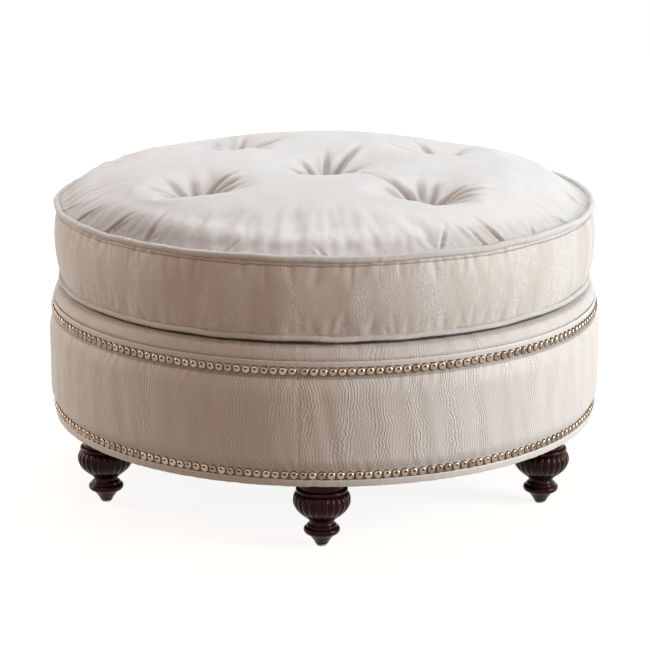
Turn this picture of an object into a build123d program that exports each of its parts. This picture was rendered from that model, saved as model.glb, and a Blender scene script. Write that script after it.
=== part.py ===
from build123d import *
import os
from math import asin, cos, degrees, pi, radians, sin, sqrt

# Driving dimensions, in millimetres. Heights are above the floor, and the front is -Y.
board_radius = 372.0
leg_height = 90.6
leg_inset = 28.0
leg_count = 6
front_angle = 270.0

# Cloth, and the play between soft pieces
cloth = 1.0
soft_gap = 0.3
overrun = 5.0

# Boards, posts and skin of the drum
bottom_board_thickness = 22.0
deck_board_thickness = 18.0
drum_height = 161.0
skin_thickness = 5.0
skin_joint = 1.0
post_width = 60.0
post_depth = 25.0
post_play = 0.5

# Wood screws through the boards into the posts
screw_radius = 2.2
screw_head_radius = 4.4
screw_head_height = 2.8
screw_length = 50.0
screw_spacing = 30.0

# Glides, hanger bolts and tee nuts
glide_radius = 7.0
glide_thickness = 2.5
glide_round = 0.8
glide_pin_radius = 1.1
glide_pin_length = 12.0
bolt_radius = 4.0
bolt_depth_in_leg = 38.0
bolt_rise_over_board = 3.0
nut_wall = 1.2
nut_barrel_length = 15.0
nut_flange_radius = 9.5
nut_flange_thickness = 1.6

# The turned leg, as shares of its bulb's radius and its height
bulb_radius = 37.9
lobe_count = 24
foot_outline_shares = [(0.185, 0.0), (0.245, 0.028), (0.406, 0.1225), (0.43, 0.131), (0.43, 0.149)]
ring_outline_shares = [(0.438, 0.156), (0.631, 0.2185), (0.5435, 0.264)]
neck_outline_shares = [(0.52, 0.277), (0.509, 0.295), (0.455, 0.318), (0.435, 0.341), (0.435, 0.37)]
bulb_section_shares = [
    (0.457, 0.37, 0.004),
    (0.644, 0.433, 0.02),
    (0.884, 0.53, 0.045),
    (0.971, 0.598, 0.05),
    (1.0, 0.668, 0.05),
    (0.968, 0.737, 0.04),
    (0.86, 0.79, 0.02),
]
collar_outline_shares = [(0.82, 0.79), (0.902, 0.825), (0.82, 0.862), (0.7916, 0.868), (0.7916, 1.0)]

# Skirt, its padding, border bands and dust cover
wadding_at_nails = 2.7
skirt_puff = 6.3
rim_round = 2.0
lip_width = 28.0
edge_step = 1.8
puff_run_bottom = 17.5
puff_run_top = 27.0
band_thickness = 2.2
band_width_bottom = 9.4
band_width_top = 7.4
dust_cover_thickness = 0.5
dust_cover_margin = 12.0
cutout_play = 0.3

# Decorative nails
nail_head_radius = 5.6
nail_head_height = 3.4
nail_spacing = 0.77
nail_shank_radius = 1.0
nail_shank_length = 14.0
nail_point_length = 2.5
seam_gap = 15.8
seam_offset_angle = 4.4
lower_nail_rise = 14.2

# Dust cover staples
staple_crown = 10.0
staple_wire = 0.6
staple_leg = 8.0
staple_inset = 7.0
staple_pitch = 28.0
staple_leg_margin = 8.0

# Deck
deck_pad_thickness = 25.4
shoulder_radius = 20.7
shoulder_stand = 2.0
hem_drop = 16.0

# Cushion
boxing_height = 104.3
boxing_bulge = 4.2
crown_rise = 46.5
crown_roll = 192.0
top_piping_radius = 4.5
top_piping_overhang = 1.0
bottom_piping_radius = 3.75
bottom_piping_inset = 2.0
piping_sides = 16
core_below_seam = 12.0
flange_thickness = 0.8
seam_allowance = 18.0

# Tufts, with a button at the bottom of each and one under the cushion
tuft_circle_share = 0.587
tuft_start_angle = 39.0
outer_tuft_count = 4
tuft_depth = 42.0
tuft_mouth_roll = 70.0
tuft_fall_angle = 48.0
tuft_seat_roll = 12.0
tuft_seat_wall = 3.0
tuft_button_radius = 11.0
tuft_button_rim = 2.0
tuft_button_height = 7.0
twine_radius = 0.8
under_button_radius = 13.0
under_button_thickness = 3.0
under_pull_depth = 4.3
under_pull_roll = 3.6

# Levels that follow from the sizes above
leg_top = glide_thickness + leg_height
deck_board_level = leg_top + drum_height - deck_board_thickness
drum_top = leg_top + drum_height
lip_level = leg_top - soft_gap - cloth
dust_cover_level = lip_level - soft_gap - dust_cover_thickness
lower_nail_level = leg_top + lower_nail_rise
upper_nail_level = deck_board_level + deck_board_thickness / 2
deck_top = drum_top + soft_gap + deck_pad_thickness + soft_gap + cloth
cushion_bottom = deck_top + soft_gap
bottom_seam = cushion_bottom + bottom_piping_radius
top_seam = bottom_seam + boxing_height
crown_top = top_seam + crown_rise
core_top = top_seam - core_below_seam

# Radii that follow from the sizes above
leg_circle_radius = board_radius - leg_inset
skin_radius = board_radius + skin_thickness
hem_radius = skin_radius + soft_gap + cloth
tuck_radius = hem_radius + soft_gap + cloth
band_radius = tuck_radius + soft_gap + band_thickness
drum_radius = skin_radius + soft_gap + wadding_at_nails + soft_gap + cloth
top_piping_circle = board_radius + top_piping_overhang
bottom_piping_circle = board_radius - bottom_piping_inset
tuft_circle_radius = top_piping_circle * tuft_circle_share
leg_top_radius = bulb_radius * collar_outline_shares[-1][0]
tuft_seat_radius = tuft_button_radius + soft_gap
under_seat_radius = under_button_radius + soft_gap


def turned(*edges):
    """A solid turned about the Z axis from a closed outline of (radius, height) edges."""
    return revolve(Plane.XZ * make_face(list(edges)), Axis.Z)


def polar(radius, angle):
    return (radius * cos(radians(angle)), radius * sin(radians(angle)))


def scaled(shares):
    """Outline points of the leg from shares of the bulb's radius and the leg's height."""
    return [(radius * bulb_radius, glide_thickness + height * leg_height) for radius, height in shares]


def leg_places():
    return PolarLocations(leg_circle_radius, leg_count, front_angle)


def tuft_places():
    ring = PolarLocations(tuft_circle_radius, outer_tuft_count, tuft_start_angle)
    return [Location((0, 0, 0))] + list(ring)


def post_locations():
    post_radius = sqrt(board_radius**2 - (post_width / 2) ** 2) - post_play - post_depth / 2
    return PolarLocations(post_radius, leg_count, front_angle + 180 / leg_count)


def lobed_section(radius, height, groove):
    """A round section with shallow grooves between equal lobes."""
    step = 360 / lobe_count
    valley = radius - groove
    lobes = []
    for number in range(lobe_count):
        turn = number * step
        start = polar(valley, turn)
        crest = polar(radius, turn + step / 2)
        end = polar(valley, turn + step)
        lobes.append(ThreePointArc(start, crest, end))
    return Pos(0, 0, height) * make_face(lobes)


def lobed_bulb():
    sections = []
    for radius, height, groove in bulb_section_shares:
        level = glide_thickness + height * leg_height
        sections.append(lobed_section(radius * bulb_radius, level, groove * bulb_radius))
    return loft(sections)


def leg_foot():
    """The peg foot, the ring and the neck below the bulb."""
    foot = scaled(foot_outline_shares)
    ring = scaled(ring_outline_shares)
    neck = scaled(neck_outline_shares)
    return turned(
        Line((0, foot[0][1]), foot[0]),
        TangentArc(foot[0], foot[1], tangent=(1, 0)),
        Polyline(*foot[1:], ring[0]),
        TangentArc(ring[1], ring[0], tangent=(0, -1)),
        TangentArc(ring[1], ring[2], tangent=(0, 1)),
        Polyline(ring[2], neck[0], neck[1]),
        ThreePointArc(neck[1], neck[2], neck[3]),
        Line(neck[3], neck[4]),
        Line(neck[4], (0, neck[4][1])),
        Line((0, neck[4][1]), (0, foot[0][1])),
    )


def leg_collar():
    """The ring above the bulb and the plain top that bears on the bottom board."""
    points = scaled(collar_outline_shares)
    return turned(
        Line((0, points[0][1]), points[0]),
        ThreePointArc(points[0], points[1], points[2]),
        Polyline(*points[2:]),
        Line(points[-1], (0, points[-1][1])),
        Line((0, points[-1][1]), (0, points[0][1])),
    )


def standing_rod(radius, bottom, top):
    return Pos(0, 0, bottom) * Cylinder(radius, top - bottom, align=(Align.CENTER, Align.CENTER, Align.MIN))


def leg_blank():
    leg = leg_foot() + lobed_bulb() + leg_collar()
    bolt_hole = standing_rod(bolt_radius, leg_top - bolt_depth_in_leg, leg_top + overrun)
    pin_hole = standing_rod(glide_pin_radius, 0, glide_thickness + glide_pin_length)
    return leg - bolt_hole - pin_hole


def glide():
    """A nail-on glide under a foot."""
    button = turned(
        Line((0, 0), (glide_radius - glide_round, 0)),
        TangentArc((glide_radius - glide_round, 0), (glide_radius, glide_round), tangent=(1, 0)),
        Line((glide_radius, glide_round), (glide_radius, glide_thickness)),
        Line((glide_radius, glide_thickness), (0, glide_thickness)),
        Line((0, glide_thickness), (0, 0)),
    )
    return button + standing_rod(glide_pin_radius, 0, glide_thickness + glide_pin_length)


def hanger_bolt():
    return standing_rod(bolt_radius, leg_top - bolt_depth_in_leg, board_top() + bolt_rise_over_board)


def board_top():
    return leg_top + bottom_board_thickness


def tee_nut():
    """A flanged nut pressed into the bottom board from above."""
    barrel_radius = bolt_radius + nut_wall
    barrel = standing_rod(barrel_radius, board_top() - nut_barrel_length, board_top())
    flange = standing_rod(nut_flange_radius, board_top(), board_top() + nut_flange_thickness)
    thread = standing_rod(bolt_radius, board_top() - nut_barrel_length, board_top() + nut_flange_thickness)
    return barrel + flange - thread


def frame_screw(head_level, point_down):
    """A countersunk wood screw whose head is flush with head_level."""
    shank_top = -screw_head_height
    screw = turned(
        Line((0, 0), (screw_head_radius, 0)),
        Line((screw_head_radius, 0), (screw_radius, shank_top)),
        Line((screw_radius, shank_top), (screw_radius, screw_radius - screw_length)),
        Line((screw_radius, screw_radius - screw_length), (0, -screw_length)),
        Line((0, -screw_length), (0, 0)),
    )
    if not point_down:
        screw = Rot(180, 0, 0) * screw
    return Pos(0, 0, head_level) * screw


def frame_screws():
    """Two screws at each end of each post."""
    screws = []
    reach = screw_spacing / 2
    for place in post_locations():
        for side in (-reach, reach):
            spot = place * Pos(0, side, 0)
            screws.append(spot * frame_screw(leg_top, point_down=False))
            screws.append(spot * frame_screw(drum_top, point_down=True))
    return screws


def frame_post():
    height = deck_board_level - board_top()
    block = Box(post_depth, post_width, height, align=(Align.CENTER, Align.CENTER, Align.MIN))
    return Pos(0, 0, board_top()) * block


def bottom_board(screws):
    board = standing_rod(board_radius, leg_top, board_top())
    for place in leg_places():
        board -= place * standing_rod(bolt_radius, leg_top - overrun, board_top() + overrun)
        board -= place * tee_nut()
    return board - screws


def drum_skin():
    """One bent sheet round both boards, butted at the back."""
    outside = standing_rod(skin_radius, leg_top, drum_top)
    inside = standing_rod(board_radius, leg_top - overrun, drum_top + overrun)
    slot = Box(skin_joint, skin_thickness + overrun, drum_height + overrun)
    middle = Pos(0, board_radius + skin_thickness / 2, leg_top + drum_height / 2)
    return outside - inside - middle * slot


def puffed_wall(inset):
    """The skirt between its two flat nail lines, or a face inset from it."""
    flat = drum_radius - inset
    puff = flat + skirt_puff
    low = lower_nail_level - nail_head_radius + edge_step
    high = upper_nail_level + nail_head_radius - edge_step
    low_flat = lower_nail_level + nail_head_radius
    high_flat = upper_nail_level - nail_head_radius
    low_puff = low_flat + puff_run_bottom
    high_puff = high_flat - puff_run_top
    return [
        Line((flat, low), (flat, low_flat)),
        TangentArc((puff, low_puff), (flat, low_flat), tangent=(0, -1)),
        Line((puff, low_puff), (puff, high_puff)),
        TangentArc((puff, high_puff), (flat, high_flat), tangent=(0, 1)),
        Line((flat, high_flat), (flat, high)),
    ]


def skirt_face(inset):
    """The skirt from its lip under the board to its top edge, or a face inset from it."""
    flat = drum_radius - inset
    tuck = tuck_radius - inset
    lip = lip_level + inset
    round_centre = (tuck_radius - rim_round, lip_level + rim_round)
    low_step = lower_nail_level - nail_head_radius
    high_step = upper_nail_level + nail_head_radius
    return [
        Line((tuck_radius - lip_width, lip), (round_centre[0], lip)),
        CenterArc(round_centre, rim_round - inset, 270, 90),
        Line((tuck, round_centre[1]), (tuck, low_step)),
        Line((tuck, low_step), (flat, low_step + edge_step)),
        *puffed_wall(inset),
        Line((flat, high_step - edge_step), (tuck, high_step)),
        Line((tuck, high_step), (tuck, skirt_top())),
    ]


def skirt_top():
    return band_bottom_level(upper_nail_level) + band_width_top - edge_step


def band_bottom_level(nail_level):
    return nail_level + nail_head_radius + soft_gap


def skirt_cover():
    """The silk round the drum, cut away under the boards where the legs bear."""
    top = skirt_top()
    cover = turned(
        *skirt_face(0),
        Line((tuck_radius, top), (tuck_radius - cloth, top)),
        *skirt_face(cloth),
        Line((tuck_radius - lip_width, lip_level + cloth), (tuck_radius - lip_width, lip_level)),
    )
    for place in leg_places():
        cover -= place * standing_rod(leg_top_radius + cutout_play, 0, leg_top)
    return cover


def skirt_padding():
    """Wadding between the drum skin and the skirt, stepped round the deck cover's hem."""
    inset = cloth + soft_gap
    outer = drum_radius - inset
    inner = skin_radius + soft_gap
    hem_side = hem_radius + soft_gap
    hem_level = hem_bottom() - soft_gap
    wall = puffed_wall(inset)
    low = lower_nail_level - nail_head_radius + edge_step
    high = upper_nail_level + nail_head_radius - edge_step
    return turned(
        *wall,
        Line((outer, high), (hem_side, high)),
        Line((hem_side, high), (hem_side, hem_level)),
        Line((hem_side, hem_level), (inner, hem_level)),
        Line((inner, hem_level), (inner, low)),
        Line((inner, low), (outer, low)),
    )


def border_band(bottom, width):
    """A folded strip of silk beside a row of nails."""
    centre = (band_radius - band_thickness / 2, bottom + width / 2)
    strip = RectangleRounded(band_thickness, width, band_thickness / 2 - soft_gap)
    return revolve(Plane.XZ * (Pos(*centre) * strip), Axis.Z)


def nail():
    """A domed nail along +X, with the underside of its head at X = 0."""
    length = nail_shank_length
    shaft = length - nail_point_length
    body = turned(
        TangentArc((0, nail_head_height), (nail_head_radius, 0), tangent=(1, 0)),
        Line((nail_head_radius, 0), (nail_shank_radius, 0)),
        Line((nail_shank_radius, 0), (nail_shank_radius, -shaft)),
        Line((nail_shank_radius, -shaft), (0, -length)),
        Line((0, -length), (0, nail_head_height)),
    )
    return Rot(0, 90, 0) * body


def nail_row(level, wide_gap):
    """Evenly spaced nails, starting and ending either side of the skirt's seam."""
    around = 2 * pi * drum_radius
    pitch = 2 * nail_head_radius + nail_spacing
    spaces = round((around - wide_gap) / pitch)
    step = 360 * (around - wide_gap) / around / spaces
    start = front_angle - seam_offset_angle + 180 * wide_gap / around
    piece = nail()
    row = []
    for number in range(spaces + 1):
        turn = Rot(0, 0, start + number * step)
        row.append(Pos(0, 0, level) * turn * Pos(drum_radius, 0, 0) * piece)
    return row


def even_nail_row(level):
    return nail_row(level, 2 * nail_head_radius + nail_spacing)


def dust_cover():
    cover = standing_rod(skin_radius - dust_cover_margin, dust_cover_level, lip_level - soft_gap)
    for place in leg_places():
        cover -= place * standing_rod(leg_top_radius + cutout_play, 0, leg_top)
    return cover


def staple():
    """A staple with its crown along Y, driven upwards."""
    align = (Align.CENTER, Align.CENTER, Align.MIN)
    crown = Pos(0, 0, dust_cover_level - staple_wire) * Box(staple_wire, staple_crown, staple_wire, align=align)
    prong = Box(staple_wire, staple_wire, staple_leg + staple_wire, align=align)
    reach = (staple_crown - staple_wire) / 2
    for side in (-reach, reach):
        crown += Pos(0, side, dust_cover_level - staple_wire) * prong
    return crown


def dust_cover_staples():
    """Staples round the dust cover's edge, left out where the legs stand."""
    ring = skin_radius - dust_cover_margin - staple_inset
    blocked = degrees(asin((bulb_radius + staple_leg_margin) / ring))
    sector = 360 / leg_count
    free = sector - 2 * blocked
    count = round(radians(free) * ring / staple_pitch)
    piece = staple()
    staples = []
    for leg in range(leg_count):
        for number in range(count + 1):
            angle = front_angle + leg * sector + blocked + number * free / count
            staples.append(Rot(0, 0, angle) * Pos(ring, 0, 0) * piece)
    return staples


def hem_bottom():
    return drum_top - hem_drop


def deck_face(inset):
    """The deck cover's top, shoulder and hem, or a face inset from it."""
    outer = hem_radius + shoulder_stand
    centre = (outer - shoulder_radius, deck_top - shoulder_radius)
    fold = centre[1] - shoulder_stand
    return [
        Line((0, deck_top - inset), (centre[0], deck_top - inset)),
        CenterArc(centre, shoulder_radius - inset, 0, 90),
        Line((outer - inset, centre[1]), (hem_radius - inset, fold)),
    ]


def deck_fold():
    return deck_top - shoulder_radius - shoulder_stand


def deck_cover():
    inner = hem_radius - cloth
    return turned(
        *deck_face(0),
        Line((hem_radius, deck_fold()), (hem_radius, hem_bottom())),
        Line((hem_radius, hem_bottom()), (inner, hem_bottom())),
        Line((inner, hem_bottom()), (inner, deck_fold())),
        *deck_face(cloth),
        Line((0, deck_top - cloth), (0, deck_top)),
    )


def deck_pad():
    inset = cloth + soft_gap
    bottom = drum_top + soft_gap
    side = hem_radius - inset
    return turned(
        *deck_face(inset),
        Line((side, deck_fold()), (side, bottom)),
        Line((side, bottom), (0, bottom)),
        Line((0, bottom), (0, deck_top - inset)),
    )


def tuft_hollow(inset):
    """The hollow of a deep tuft below height zero: a round mouth, a steep fall and a seat."""
    out, up = sin(radians(tuft_fall_angle)), cos(radians(tuft_fall_angle))
    straight = tuft_depth - tuft_seat_wall - tuft_seat_roll * up - tuft_mouth_roll * (1 - up)
    near = (tuft_seat_radius + tuft_seat_roll, tuft_seat_wall - tuft_depth)
    far = (near[0] + straight * up / out + (tuft_mouth_roll - tuft_seat_roll) * out, -tuft_mouth_roll)
    mouth = CenterArc(far, tuft_mouth_roll - inset, 90, tuft_fall_angle)
    seat = CenterArc(near, tuft_seat_roll - inset, 90 + tuft_fall_angle, 90 - tuft_fall_angle)
    wall = tuft_seat_radius + inset
    floor = -tuft_depth - inset
    return turned(
        Line((0, floor), (wall, floor)),
        Line((wall, floor), (wall, near[1])),
        seat,
        Line(seat @ 0, mouth @ 1),
        mouth,
        Line((far[0], -inset), (far[0], overrun)),
        Line((far[0], overrun), (0, overrun)),
        Line((0, overrun), (0, floor)),
    )


def pull_in(seat_radius, depth, roll, inset):
    """The hollow that a tight twine draws into a cushion face at height zero, going down."""
    mouth = seat_radius + roll
    wall = seat_radius + inset
    floor = -depth - inset
    return turned(
        Line((0, floor), (wall, floor)),
        Line((wall, floor), (wall, -roll)),
        CenterArc((mouth, -roll), roll - inset, 90, 90),
        Line((mouth, -inset), (mouth, overrun)),
        Line((mouth, overrun), (0, overrun)),
        Line((0, overrun), (0, floor)),
    )


def boxed_body(inset):
    """The cushion's whole body inside its seams, or one inset from it, before the tufts."""
    low_play = bottom_piping_radius + soft_gap
    high_play = top_piping_radius + soft_gap
    low_edge = bottom_piping_circle - low_play - inset
    high_edge = top_piping_circle - high_play - inset
    low_turn = degrees(asin(inset / (low_play + inset)))
    high_turn = degrees(asin(inset / (high_play + inset)))
    low_arc = CenterArc((bottom_piping_circle, bottom_seam), low_play + inset, 180, low_turn - 90)
    high_arc = CenterArc((top_piping_circle, top_seam), high_play + inset, 180, 90 - high_turn)
    middle = (max(top_piping_circle, bottom_piping_circle) + boxing_bulge - inset, (bottom_seam + top_seam) / 2)
    roll = crown_roll - inset
    roll_level = crown_top - crown_roll
    roll_centre = high_edge - sqrt(roll**2 - (top_seam - roll_level) ** 2)
    end_angle = degrees(asin((top_seam - roll_level) / roll))
    turn_up = bottom_piping_radius
    bottom = cushion_bottom + inset
    return turned(
        Line((0, bottom), (low_edge + inset - turn_up, bottom)),
        CenterArc((low_edge + inset - turn_up, bottom_seam), turn_up - inset, 270, 90),
        low_arc,
        ThreePointArc(low_arc @ 1, middle, high_arc @ 1),
        high_arc,
        CenterArc((roll_centre, roll_level), roll, end_angle, 90 - end_angle),
        Line((roll_centre, crown_top - inset), (0, crown_top - inset)),
        Line((0, crown_top - inset), (0, bottom)),
    )


def cushion_body(inset):
    """The tufted body: five deep tufts above, and a shallow pull under each."""
    tuft = tuft_hollow(inset)
    under = Rot(180, 0, 0) * pull_in(under_seat_radius, under_pull_depth, under_pull_roll, inset)
    body = boxed_body(inset)
    for place in tuft_places():
        body -= place * Pos(0, 0, crown_top) * tuft
        body -= place * Pos(0, 0, cushion_bottom) * under
    return body


def twine_holes():
    hole = standing_rod(twine_radius + soft_gap, cushion_bottom - overrun, crown_top)
    return [place * hole for place in tuft_places()]


def seam_slot(circle, level):
    """The ring between two cloth edges that a piping's flange and its play take up."""
    half = flange_thickness / 2 + soft_gap
    ring = standing_rod(circle + boxing_bulge, level - half, level + half)
    return ring - standing_rod(circle - seam_allowance, level - half, level + half)


def cushion_pieces():
    """The cloth panels, the boxing band, the foam core and the fibre pad."""
    holes = twine_holes()
    cover = cushion_body(0) - cushion_body(cloth) - holes
    cover -= [seam_slot(bottom_piping_circle, bottom_seam), seam_slot(top_piping_circle, top_seam)]
    bottom_panel, boxing, top_panel = cover.solids().sort_by(Axis.Z)
    filling = cushion_body(cloth + soft_gap) - holes
    return {
        "cushion_top_panel": top_panel,
        "cushion_boxing": boxing,
        "cushion_bottom_panel": bottom_panel,
        "cushion_foam_core": split(filling, Plane.XY.offset(core_top), keep=Keep.BOTTOM),
        "cushion_fibre_pad": split(filling, Plane.XY.offset(core_top + soft_gap), keep=Keep.TOP),
    }


def piping(circle, radius, level):
    """A cloth tube with a short flange into the seam, and the round filler inside it."""
    flange_start = radius - cloth / 2
    flange_end = radius + soft_gap + cloth
    flange = Rectangle(flange_end - flange_start, flange_thickness)
    section = RegularPolygon(radius, piping_sides)
    section += Pos(-(flange_start + flange_end) / 2, 0) * flange
    section -= RegularPolygon(radius - cloth, piping_sides)
    tube = revolve(Plane.XZ * Pos(circle, level) * section, Axis.Z)
    filler = Plane.XY.offset(level) * Torus(circle, radius - cloth - soft_gap)
    return tube, filler


def tuft_seat_level():
    return crown_top - tuft_depth


def tuft_button():
    base = tuft_seat_level() + soft_gap
    rim = base + tuft_button_rim
    top = base + tuft_button_height
    return turned(
        Line((0, base), (tuft_button_radius, base)),
        Line((tuft_button_radius, base), (tuft_button_radius, rim)),
        TangentArc((0, top), (tuft_button_radius, rim), tangent=(1, 0)),
        Line((0, top), (0, base)),
    )


def under_button_top():
    return cushion_bottom + under_pull_depth - soft_gap


def under_button():
    return standing_rod(under_button_radius, under_button_top() - under_button_thickness, under_button_top())


def twine():
    return standing_rod(twine_radius, under_button_top(), tuft_seat_level() + soft_gap)


def group(shapes):
    return Compound(children=list(shapes))


def base_pieces():
    screws = frame_screws()
    leg = leg_blank()
    post = frame_post()
    pieces = {
        "bottom_board": bottom_board(screws),
        "deck_board": standing_rod(board_radius, deck_board_level, drum_top) - screws,
        "frame_screws": group(screws),
        "drum_skin": drum_skin(),
        "skirt_padding": skirt_padding(),
        "skirt_cover": skirt_cover(),
        "upper_border_band": border_band(band_bottom_level(upper_nail_level), band_width_top),
        "lower_border_band": border_band(
            lower_nail_level - nail_head_radius - soft_gap - band_width_bottom, band_width_bottom
        ),
        "upper_nails": group(nail_row(upper_nail_level, seam_gap)),
        "lower_nails": group(even_nail_row(lower_nail_level)),
        "deck_pad": deck_pad(),
        "deck_cover": deck_cover(),
        "dust_cover": dust_cover(),
        "dust_cover_staples": group(dust_cover_staples()),
        "leg_glides": group(place * glide() for place in leg_places()),
        "leg_hanger_bolts": group(place * hanger_bolt() for place in leg_places()),
        "leg_tee_nuts": group(place * tee_nut() for place in leg_places()),
    }
    for number, place in enumerate(leg_places(), start=1):
        pieces[f"leg_{number}"] = place * leg
    for number, place in enumerate(post_locations(), start=1):
        pieces[f"frame_post_{number}"] = place * post - screws
    return pieces


def cushion_trim():
    top_cover, top_filler = piping(top_piping_circle, top_piping_radius, top_seam)
    bottom_cover, bottom_filler = piping(bottom_piping_circle, bottom_piping_radius, bottom_seam)
    return {
        "top_piping": top_cover,
        "top_piping_filler": top_filler,
        "bottom_piping": bottom_cover,
        "bottom_piping_filler": bottom_filler,
        "tuft_buttons": group(place * tuft_button() for place in tuft_places()),
        "tuft_twines": group(place * twine() for place in tuft_places()),
        "underside_buttons": group(place * under_button() for place in tuft_places()),
    }


def main():
    os.makedirs("parts", exist_ok=True)
    pieces = {**base_pieces(), **cushion_pieces(), **cushion_trim()}
    for name, shape in pieces.items():
        export_step(shape, f"parts/{name}.step")


main()
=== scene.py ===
import math
import random

import bmesh
import bpy
import numpy as np
from bpy.props import FloatProperty, FloatVectorProperty, PointerProperty
from mathutils import Matrix, Vector


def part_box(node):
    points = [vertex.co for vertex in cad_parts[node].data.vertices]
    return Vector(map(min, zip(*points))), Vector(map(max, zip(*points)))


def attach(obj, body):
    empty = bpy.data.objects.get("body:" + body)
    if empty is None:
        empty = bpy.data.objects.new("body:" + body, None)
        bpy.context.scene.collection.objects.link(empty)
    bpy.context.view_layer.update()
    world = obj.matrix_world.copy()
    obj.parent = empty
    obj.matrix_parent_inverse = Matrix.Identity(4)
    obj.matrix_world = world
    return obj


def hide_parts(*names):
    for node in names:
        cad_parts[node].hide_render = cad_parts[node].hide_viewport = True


bl_info = {
    "name": "Round tufted ottoman",
    "version": (1, 0, 0),
    "blender": (4, 5, 0),
    "location": "3D View > Sidebar > Ottoman",
    "description": "Cloth, nails, piping and finishes of a round tufted ottoman",
    "category": "Mesh",
}

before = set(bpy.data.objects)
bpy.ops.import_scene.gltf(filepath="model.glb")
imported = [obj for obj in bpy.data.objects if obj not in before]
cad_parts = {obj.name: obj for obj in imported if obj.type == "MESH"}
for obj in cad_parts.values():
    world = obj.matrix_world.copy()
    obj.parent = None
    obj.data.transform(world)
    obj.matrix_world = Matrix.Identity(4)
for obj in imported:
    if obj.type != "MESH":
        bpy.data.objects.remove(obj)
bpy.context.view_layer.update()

TURN = 2 * math.pi
FRONT = math.radians(270)
MM = 0.001
CLOTH = 1.0 * MM
PLAY = 0.3 * MM
WELD = 1e-6
SECTOR_STEPS = 30
RIPPLE_WAVES, DRIFT_WAVES, UNIT_HEIGHT = 7, 9, 1.3
SILK_TINT = (1.0, 0.88, 0.78, 1.0)
MAHOGANY_TINT = (1.0, 0.34, 0.26, 1.0)
# Centre of the painted dark reflection on a nail head, in shares of its radius, with up stretched
# one and a half times.
NAIL_DARK_REFLECTION = (0.02, 0.46, 0)


def ring_of(node):
    """Circle radius, tube radius and level of a piping node."""
    low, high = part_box(node)
    tube = (high.z - low.z) / 2
    return high.x - tube, tube, (high.z + low.z) / 2


TOP_RING = TOP_CIRCLE, TOP_TUBE, TOP_SEAM = ring_of("top_piping")
LOW_RING = LOW_CIRCLE, LOW_TUBE, LOW_SEAM = ring_of("bottom_piping")
CROWN_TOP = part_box("cushion_top_panel")[1].z
CUSHION_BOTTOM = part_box("cushion_bottom_panel")[0].z
CORE_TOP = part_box("cushion_foam_core")[1].z
BOXING_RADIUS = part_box("cushion_boxing")[1].x
SKIRT_LOW, SKIRT_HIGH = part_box("skirt_cover")[0].z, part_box("skirt_cover")[1].z
PUFF_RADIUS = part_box("skirt_cover")[1].x
HEM_RADIUS = 378.3 * MM
SKIRT_LIP = PUFF_RADIUS - 36.0 * MM
SKIN_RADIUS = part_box("drum_skin")[1].x
LEG_CIRCLE = 344.0 * MM
LEG_HOLE = 30.6 * MM
DECK_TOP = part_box("deck_cover")[1].z
DECK_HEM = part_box("deck_cover")[0].z
DRUM_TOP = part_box("deck_board")[1].z
LEG_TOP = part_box("leg_1")[1].z
LOW_ROW = LEG_TOP + 14.2 * MM
HIGH_ROW = DRUM_TOP - 9.0 * MM


# Settings that a user would change


class OttomanCloth(bpy.types.PropertyGroup):
    silk: FloatVectorProperty(
        name="Silk", description="Light tone of the watered silk", subtype="COLOR",
        default=(0.805, 0.770, 0.742), min=0, max=1,
    )
    silk_shade: FloatVectorProperty(
        name="Silk shade", description="Dark tone of the watering", subtype="COLOR",
        default=(0.560, 0.475, 0.412), min=0, max=1,
    )
    streak_pitch: FloatProperty(
        name="Streak pitch", description="Mean distance between the streaks of the watering",
        subtype="DISTANCE", unit="LENGTH", default=0.0042, min=0.001,
    )
    group_pitch: FloatProperty(
        name="Group pitch", description="Distance between the strongest groups of streaks",
        subtype="DISTANCE", unit="LENGTH", default=0.046, min=0.005,
    )
    skirt_ripple: FloatProperty(
        name="Skirt ripple", description="Height of the soft ripples in the skirt",
        subtype="DISTANCE", unit="LENGTH", default=0.00045, min=0,
    )


class OttomanCushion(bpy.types.PropertyGroup):
    tuft_circle: FloatProperty(
        name="Tuft circle", description="Radius of the circle of the four outer tufts",
        subtype="DISTANCE", unit="LENGTH", default=0.219, min=0.05,
    )
    tuft_depth: FloatProperty(
        name="Tuft depth", description="Depth of the tufts below the crown",
        subtype="DISTANCE", unit="LENGTH", default=0.0405, min=0,
    )
    cloth_mesh: FloatProperty(
        name="Cloth mesh", description="Size of the cloth mesh that is inflated",
        subtype="DISTANCE", unit="LENGTH", default=0.005, min=0.003,
    )
    pressure: FloatProperty(
        name="Pressure", description="Pressure of the filling in the cloth simulation",
        default=4.0, min=0,
    )
    swell_limit: FloatProperty(
        name="Swell limit", description="Most that a point of the cloth may move as it is inflated",
        subtype="DISTANCE", unit="LENGTH", default=0.014, min=0,
    )
    spare_cloth: FloatProperty(
        name="Spare cloth", description="Share of cloth that is gathered in at seams and tufts",
        subtype="FACTOR", default=0.05, min=0, max=0.2,
    )


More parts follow.
